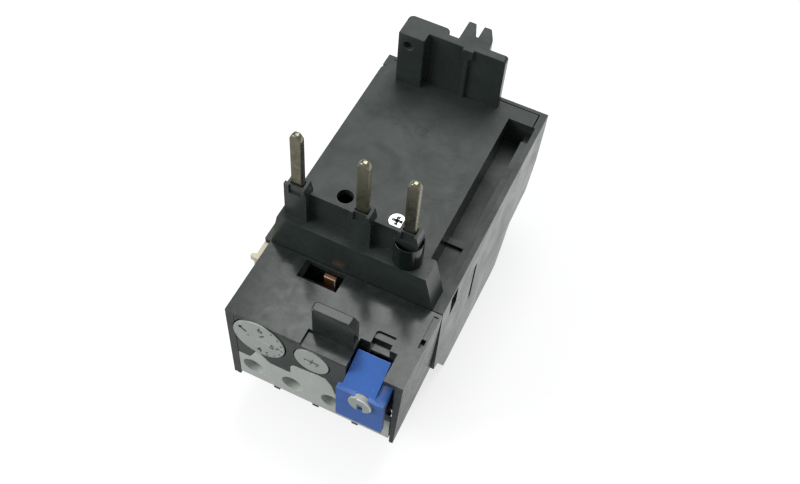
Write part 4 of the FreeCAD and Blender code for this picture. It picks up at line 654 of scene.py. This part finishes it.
def numeral(text, centre, place, high, face, depth, turn):
    """A printed numeral on a front face, its place given from a centre, in millimetres."""
    words = bpy.data.curves.new("numeral", "FONT")
    words.body = text
    words.size = high * FONT_SIZE * MM
    words.extrude = depth / 2 * MM
    words.offset = FONT_GROWTH * MM
    words.align_x, words.align_y = "CENTER", "CENTER"
    holder = new_object("numeral_curve", words)
    graph = bpy.context.evaluated_depsgraph_get()
    mesh = bpy.data.meshes.new_from_object(holder.evaluated_get(graph))
    bpy.data.objects.remove(holder)
    bpy.data.curves.remove(words)
    where = Vector((centre[0] + place[0], face - depth / 2, centre[1] + place[1])) * MM
    mesh.transform(Matrix.Translation(where) @ Matrix.Rotation(math.pi / 2, 4, "X")
                   @ Matrix.Rotation(turn, 4, "Z"))
    return new_object("numeral_" + text, mesh)


def joined(name, items):
    """Several objects as one mesh."""
    form = bmesh.new()
    for item in items:
        form.from_mesh(item.data)
        discard(item)
    return object_from(name, form)


def ring_of_dots(finish):
    """Geometry nodes: printed dots on an arc in the XZ plane round the origin."""
    tree = bpy.data.node_groups.new("ring_of_dots", "GeometryNodeTree")
    tree.interface.new_socket(name="Count", in_out="INPUT", socket_type="NodeSocketInt")
    for label in ("Ring", "Start", "Step", "Radius", "Depth"):
        tree.interface.new_socket(name=label, in_out="INPUT", socket_type="NodeSocketFloat")
    tree.interface.new_socket(name="Geometry", in_out="OUTPUT", socket_type="NodeSocketGeometry")
    start = tree.nodes.new("NodeGroupInput").outputs
    points = node(tree, "GeometryNodePoints", {"Count": start["Count"]}).outputs[0]
    index = node(tree, "GeometryNodeInputIndex").outputs[0]
    angle = maths(tree, "MULTIPLY_ADD", index, start["Step"], start["Start"])
    across = maths(tree, "MULTIPLY", maths(tree, "COSINE", angle), start["Ring"])
    high = maths(tree, "MULTIPLY", maths(tree, "SINE", angle), start["Ring"])
    place = node(tree, "ShaderNodeCombineXYZ", {"X": across, "Z": high}).outputs[0]
    placed = node(tree, "GeometryNodeSetPosition", {"Geometry": points, "Position": place}).outputs[0]
    dot = node(tree, "GeometryNodeMeshCylinder",
               {"Vertices": 14, "Radius": start["Radius"], "Depth": start["Depth"]}).outputs["Mesh"]
    dots = node(tree, "GeometryNodeInstanceOnPoints",
                {"Points": placed, "Instance": dot, "Rotation": (math.pi / 2, 0.0, 0.0)}).outputs[0]
    real = node(tree, "GeometryNodeRealizeInstances", {"Geometry": dots}).outputs[0]
    inked = node(tree, "GeometryNodeSetMaterial", {"Geometry": real, "Material": finish}).outputs[0]
    tree.links.new(inked, tree.nodes.new("NodeGroupOutput").inputs[0])
    return tree


def grown(name, tree, values):
    """The plain mesh that a geometry-nodes tree makes with its named inputs."""
    item = new_object(name, bpy.data.meshes.new(name))
    change = item.modifiers.new("grow", "NODES")
    change.node_group = tree
    for label, value in values.items():
        change[tree.interface.items_tree[label].identifier] = value
    return baked(item)


def left_leg():
    """The filling of the cover's left leg, whose foot rises towards the back."""
    leg = shaped("left_leg")
    front = FORMS["left_leg"][2] * MM
    for point in leg.data.vertices:
        if point.co.z < FOOT_BELOW * MM:
            point.co.z += (point.co.y - front) * FOOT_SLOPE
    return leg


def selector_highlight_arc():
    """A raised arc on the front of the mode selector, near white as a painted highlight along its rim.
    """
    turns = [math.radians(angle) for angle in ARC_DEGREES]
    outline = arc(SELECTOR, ARC_RADII[0], turns) + arc(SELECTOR, ARC_RADII[1], reversed(turns))
    bright = rounded(prism("selector_highlight_arc", "XZ", outline, *ARC_DEPTH), ARC_EDGE * MM)
    dressed(bright, "painted_highlight_white", body_of("mode_selector"))


def print_dial():
    """The pointer, the numerals and the ring of dots on the current dial."""
    depth = sizes().print_depth / MM
    marks = [stroke(name, DIAL, start, end, width, DIAL_FACE, depth)
             for name, start, end, width in DIAL_STROKES]
    marks += [numeral(text, DIAL, place, high, DIAL_FACE, depth, turn)
              for text, place, high, turn in DIAL_NUMERALS]
    dressed(joined("dial_print", marks), "ink", body_of("current_dial"))
    dots = grown("dial_dots", ring_of_dots(bpy.data.materials["relay_ink"]), {
        "Count": sizes().dial_dots, "Ring": sizes().dot_ring, "Start": sizes().dot_start,
        "Step": sizes().dot_step, "Radius": sizes().dot_radius, "Depth": sizes().print_depth * 2})
    dots.data.transform(Matrix.Translation(Vector((DIAL[0], DIAL_FACE, DIAL[1])) * MM))
    dressed(dots, "ink", body_of("current_dial"))


def print_test_button():
    """The crossed mark on the test button."""
    depth = sizes().print_depth / MM
    marks = [stroke(name, TEST, start, end, width, TEST_FACE, depth)
             for name, start, end, width in TEST_STROKES]
    dressed(joined("test_mark", marks), "faded_ink", body_of("test_button"))


def tower_collar():
    """The glossy collar round the foot of the right tower, with a cup in its top."""
    collar = prism("tower_collar", "XY", circle(COLLAR, COLLAR_RADII[0]), *COLLAR_HEIGHT)
    cup = prism("cup", "XY", circle(COLLAR, COLLAR_RADII[1]), CUP_FLOOR, COLLAR_HEIGHT[1] + PAST)
    carved(collar, cup)
    dressed(rounded(collar, sizes().fine_edge), "glossy_black", "housing")


def screw_cross_shade():
    """A thin dark cross on the head of the deck screw: painted shade for its cross recess."""
    arms = []
    for turn in (CROSS_TURN, CROSS_TURN + math.pi / 2):
        spin = Matrix.Rotation(turn, 2)
        outline = [tuple(Vector(SCREW) + spin @ Vector(corner)) for corner in CROSS_ARM]
        arms.append(prism("screw_arm", "XY", outline, *CROSS_HEIGHT))
    dressed(joined("screw_cross_shade", arms), "inner_plastic", "housing")


# One operator for each piece or group of like pieces.

class RELAY_OT_finishes(Operator):
    """Make the finishes and give every CAD node its own"""

    bl_idname = "relay.finishes"
    bl_label = "Finishes"

    def execute(self, context):
        made = finishes()
        for name, item in NODES.items():
            item.data.materials.clear()
            item.data.materials.append(made[slot_of(name)])
        return {"FINISHED"}


class RELAY_OT_housing(Operator):
    """Redraw the rear housing and its deck plate"""

    bl_idname = "relay.housing"
    bl_label = "Rear housing"

    def execute(self, context):
        moulding("rear_housing", sizes().mould_edge)
        mark = ring("ejector_mark", "XY", EJECTOR, EJECTOR_RADII, EJECTOR_DEPTH)
        moulding("deck_plate", sizes().fine_edge, mark)
        return {"FINISHED"}


class RELAY_OT_front(Operator):
    """Redraw the front cover, the fascia and the terminal shroud"""

    bl_idname = "relay.front"
    bl_label = "Front cover"

    def execute(self, context):
        moulding("front_cover", sizes().mould_edge,
                 added=(shaped("bridge"), left_leg(), shaped("well_floor")))
        moulding("fascia_panel", sizes().fine_edge)
        moulding("terminal_shroud", sizes().fine_edge)
        return {"FINISHED"}


class RELAY_OT_controls(Operator):
    """Redraw the dial, the test button, the reset button and the mode selector"""

    bl_idname = "relay.controls"
    bl_label = "Dial and buttons"

    def execute(self, context):
        rim = ring("rim", "XZ", DIAL, DIAL_RIM, DIAL_LIP, 64)
        moulding("current_dial", sizes().fine_edge, rim, finish="button_plastic")
        moulding("test_button", sizes().fine_edge, finish="button_plastic")
        moulding("reset_button", sizes().mould_edge)
        moulding("mode_selector", sizes().fine_edge, finish="button_plastic")
        selector_highlight_arc()
        print_dial()
        print_test_button()
        return {"FINISHED"}


class RELAY_OT_pin_tower(Operator):
    """Redraw the pin block, the contact pins, the hook bracket and the side clip"""

    bl_idname = "relay.pin_tower"
    bl_label = "Pin block and hook"

    def execute(self, context):
        moulding("pin_block", sizes().mould_edge)
        tower_collar()
        moulding("hook_bracket", sizes().mould_edge)
        moulding("side_clip", sizes().fine_edge, shaped("clip_end"), added=(shaped("clip_tip"),))
        for name in PIN_NAMES:
            moulding("contact_pin_" + name, sizes().pin_edge, segments=3)
        return {"FINISHED"}


class RELAY_OT_trip_window(Operator):
    """Lay painted highlight strips along the trip lever's edges, where it shows in the window"""

    bl_idname = "relay.trip_window"
    bl_label = "Trip lever"

    def execute(self, context):
        edges = rounded(shaped("lever_highlight"), LEVER_EDGE * MM)
        dressed(edges, "cream_plastic", body_of("trip_lever"))
        return {"FINISHED"}


class RELAY_OT_terminals(Operator):
    """Redraw the terminal base and the terminal hardware"""

    bl_idname = "relay.terminals"
    bl_label = "Terminals"

    def execute(self, context):
        moulding("aux_terminal_base", sizes().fine_edge)
        moulding("deck_screw", sizes().metal_edge)
        screw_cross_shade()
        for name in ("main_terminal_screws", "aux_terminal_screws", "main_clamp_plates",
                     "aux_clamp_plates"):
            moulding(name, sizes().metal_edge, finish="dull_zinc")
        return {"FINISHED"}


class RELAY_OT_stage(Operator):
    """Lay the floor, set the lamps and place the camera"""

    bl_idname = "relay.stage"
    bl_label = "Stage"

    def execute(self, context):
        lay_floor()
        light_studio()
        place_camera()
        return {"FINISHED"}


# The stage, in metres, watts, degrees and millimetres of film.

FLOOR_HALF = 3.0             # half the floor's width
FLOOR_GREY = 0.42
FLOOR_GLOW = 0.72            # what the camera sees of the floor's own light
FLOOR_DROP = 0.0002          # how far the floor lies below the relay
FLOOR_SLANT = 1.3            # the mirrored floor brightens along x + 1.3 y
FLOOR_RAMP = (-0.045, 0.02)  # where that starts and ends
FLOOR_MIRRORED = (0.08, 0.62)  # and how bright it is there
ROOM_COLOUR = (0.95, 0.97, 1.0, 1.0)
ROOM_LIGHT = 0.36
LAMP_AIM = (0.0, 0.0, 0.03)
LAMPS = (                    # name, place, width and power
    ("back_lamp", (-0.03, 0.4, 0.82), 0.56, 3.7),
    ("left_lamp", (-0.6, -0.45, 0.45), 0.5, 4.2),
)
CAMERA_TURN, CAMERA_RISE, CAMERA_ROLL = 20.82, 55.40, 5.495
CAMERA_DISTANCE = 0.245
CAMERA_SHIFT = (0.0063, -0.0097, 0.0003)  # of its aim, from the middle of the CAD box
LENS, FILM = 47.54, 36.0


def lay_floor():
    """A pale floor that glows to white where it is seen directly, and keeps a soft shadow.

    What the relay mirrors of it is dim at the left front and bright at the right back."""
    form = bmesh.new()
    bmesh.ops.create_grid(form, x_segments=2, y_segments=2, size=FLOOR_HALF)
    floor = object_from("floor", form)
    floor.data.transform(Matrix.Translation((0.0, 0.0, CAD_BOX[0].z - FLOOR_DROP)))
    item, tree, shader, where = blank("floor_white")
    shader.inputs["Base Color"].default_value = (FLOOR_GREY, FLOOR_GREY, FLOOR_GREY, 1.0)
    shader.inputs["Roughness"].default_value = 0.9
    shader.inputs["Specular IOR Level"].default_value = 0.0
    shader.inputs["Emission Strength"].default_value = 1.0
    rays = node(tree, "ShaderNodeLightPath").outputs
    shown = maths(tree, "MULTIPLY", rays["Is Camera Ray"], FLOOR_GLOW)
    mirrored = maths(tree, "MAXIMUM", rays["Is Glossy Ray"], rays["Is Transmission Ray"])
    place = node(tree, "ShaderNodeSeparateXYZ", {0: where}).outputs
    towards = maths(tree, "MULTIPLY_ADD", place[1], FLOOR_SLANT, place[0])
    uneven = spread(tree, towards, *FLOOR_RAMP, *FLOOR_MIRRORED)
    white = maths(tree, "MAXIMUM", shown, maths(tree, "MULTIPLY", mirrored, uneven))
    glow = node(tree, "ShaderNodeCombineColor", {0: white, 1: white, 2: white}).outputs[0]
    tree.links.new(glow, shader.inputs["Emission Color"])
    floor.data.materials.append(item)


def light_studio():
    """A pale room, with one broad lamp above and behind the relay and one at its left front."""
    world = bpy.data.worlds.new("studio")
    bpy.context.scene.world = world
    world.use_nodes = True
    tree = world.node_tree
    tree.nodes.clear()
    room = node(tree, "ShaderNodeBackground", {"Color": ROOM_COLOUR, "Strength": ROOM_LIGHT})
    back = node(tree, "ShaderNodeBackground", {"Color": (1.0, 1.0, 1.0, 1.0), "Strength": 1.0})
    seen = node(tree, "ShaderNodeLightPath").outputs["Is Camera Ray"]
    both = node(tree, "ShaderNodeMixShader", {0: seen, 1: room.outputs[0], 2: back.outputs[0]})
    out = node(tree, "ShaderNodeOutputWorld")
    tree.links.new(both.outputs[0], out.inputs[0])
    for name, place, width, power in LAMPS:
        lamp = bpy.data.lights.new(name, "AREA")
        lamp.size = width
        lamp.energy = power
        item = bpy.data.objects.new(name, lamp)
        bpy.context.scene.collection.objects.link(item)
        item.location = place
        item.rotation_euler = (Vector(place) - Vector(LAMP_AIM)).to_track_quat("Z", "Y").to_euler()


def place_camera():
    """The camera looks down at the front right of the relay, slightly rolled."""
    low, high = CAD_BOX
    aim = (low + high) / 2 + Vector(CAMERA_SHIFT)
    turn, rise, roll = (math.radians(angle) for angle in (CAMERA_TURN, CAMERA_RISE, CAMERA_ROLL))
    back = Vector((math.sin(turn) * math.cos(rise), -math.cos(turn) * math.cos(rise), math.sin(rise)))
    side = Vector((math.cos(turn), math.sin(turn), 0.0))
    up = back.cross(side)
    right = side * math.cos(roll) + up * math.sin(roll)
    top = up * math.cos(roll) - side * math.sin(roll)
    lens = bpy.data.cameras.new("camera")
    lens.lens = LENS
    lens.sensor_width = FILM
    lens.clip_start = 0.01
    camera = bpy.data.objects.new("camera", lens)
    bpy.context.scene.collection.objects.link(camera)
    facing = Matrix((right, top, back)).transposed()
    camera.matrix_world = Matrix.Translation(aim + back * CAMERA_DISTANCE) @ facing.to_4x4()
    bpy.context.scene.camera = camera
    bpy.context.scene.view_settings.view_transform = "Standard"


OPERATORS = (
    RELAY_OT_finishes, RELAY_OT_housing, RELAY_OT_front, RELAY_OT_controls, RELAY_OT_pin_tower,
    RELAY_OT_trip_window, RELAY_OT_terminals, RELAY_OT_stage,
)


class RELAY_PT_panel(Panel):
    """The relay's settings and pieces."""

    bl_idname = "RELAY_PT_panel"
    bl_label = "Overload relay"
    bl_space_type = "VIEW_3D"
    bl_region_type = "UI"
    bl_category = "Relay"

    def draw(self, context):
        for settings in (context.scene.relay_sizes, context.scene.relay_colours):
            for name in settings.__annotations__:
                self.layout.prop(settings, name)
        for operator in OPERATORS:
            self.layout.operator(operator.bl_idname)


CLASSES = (RelaySizes, RelayColours) + OPERATORS + (RELAY_PT_panel,)


def register():
    for item in CLASSES:
        bpy.utils.register_class(item)
    bpy.types.Scene.relay_sizes = PointerProperty(type=RelaySizes)
    bpy.types.Scene.relay_colours = PointerProperty(type=RelayColours)


def unregister():
    del bpy.types.Scene.relay_colours
    del bpy.types.Scene.relay_sizes
    for item in reversed(CLASSES):
        bpy.utils.unregister_class(item)


def main():
    register()
    for operator in OPERATORS:
        group, name = operator.bl_idname.split(".")
        getattr(getattr(bpy.ops, group), name)()


if __name__ == "__main__":
    main()
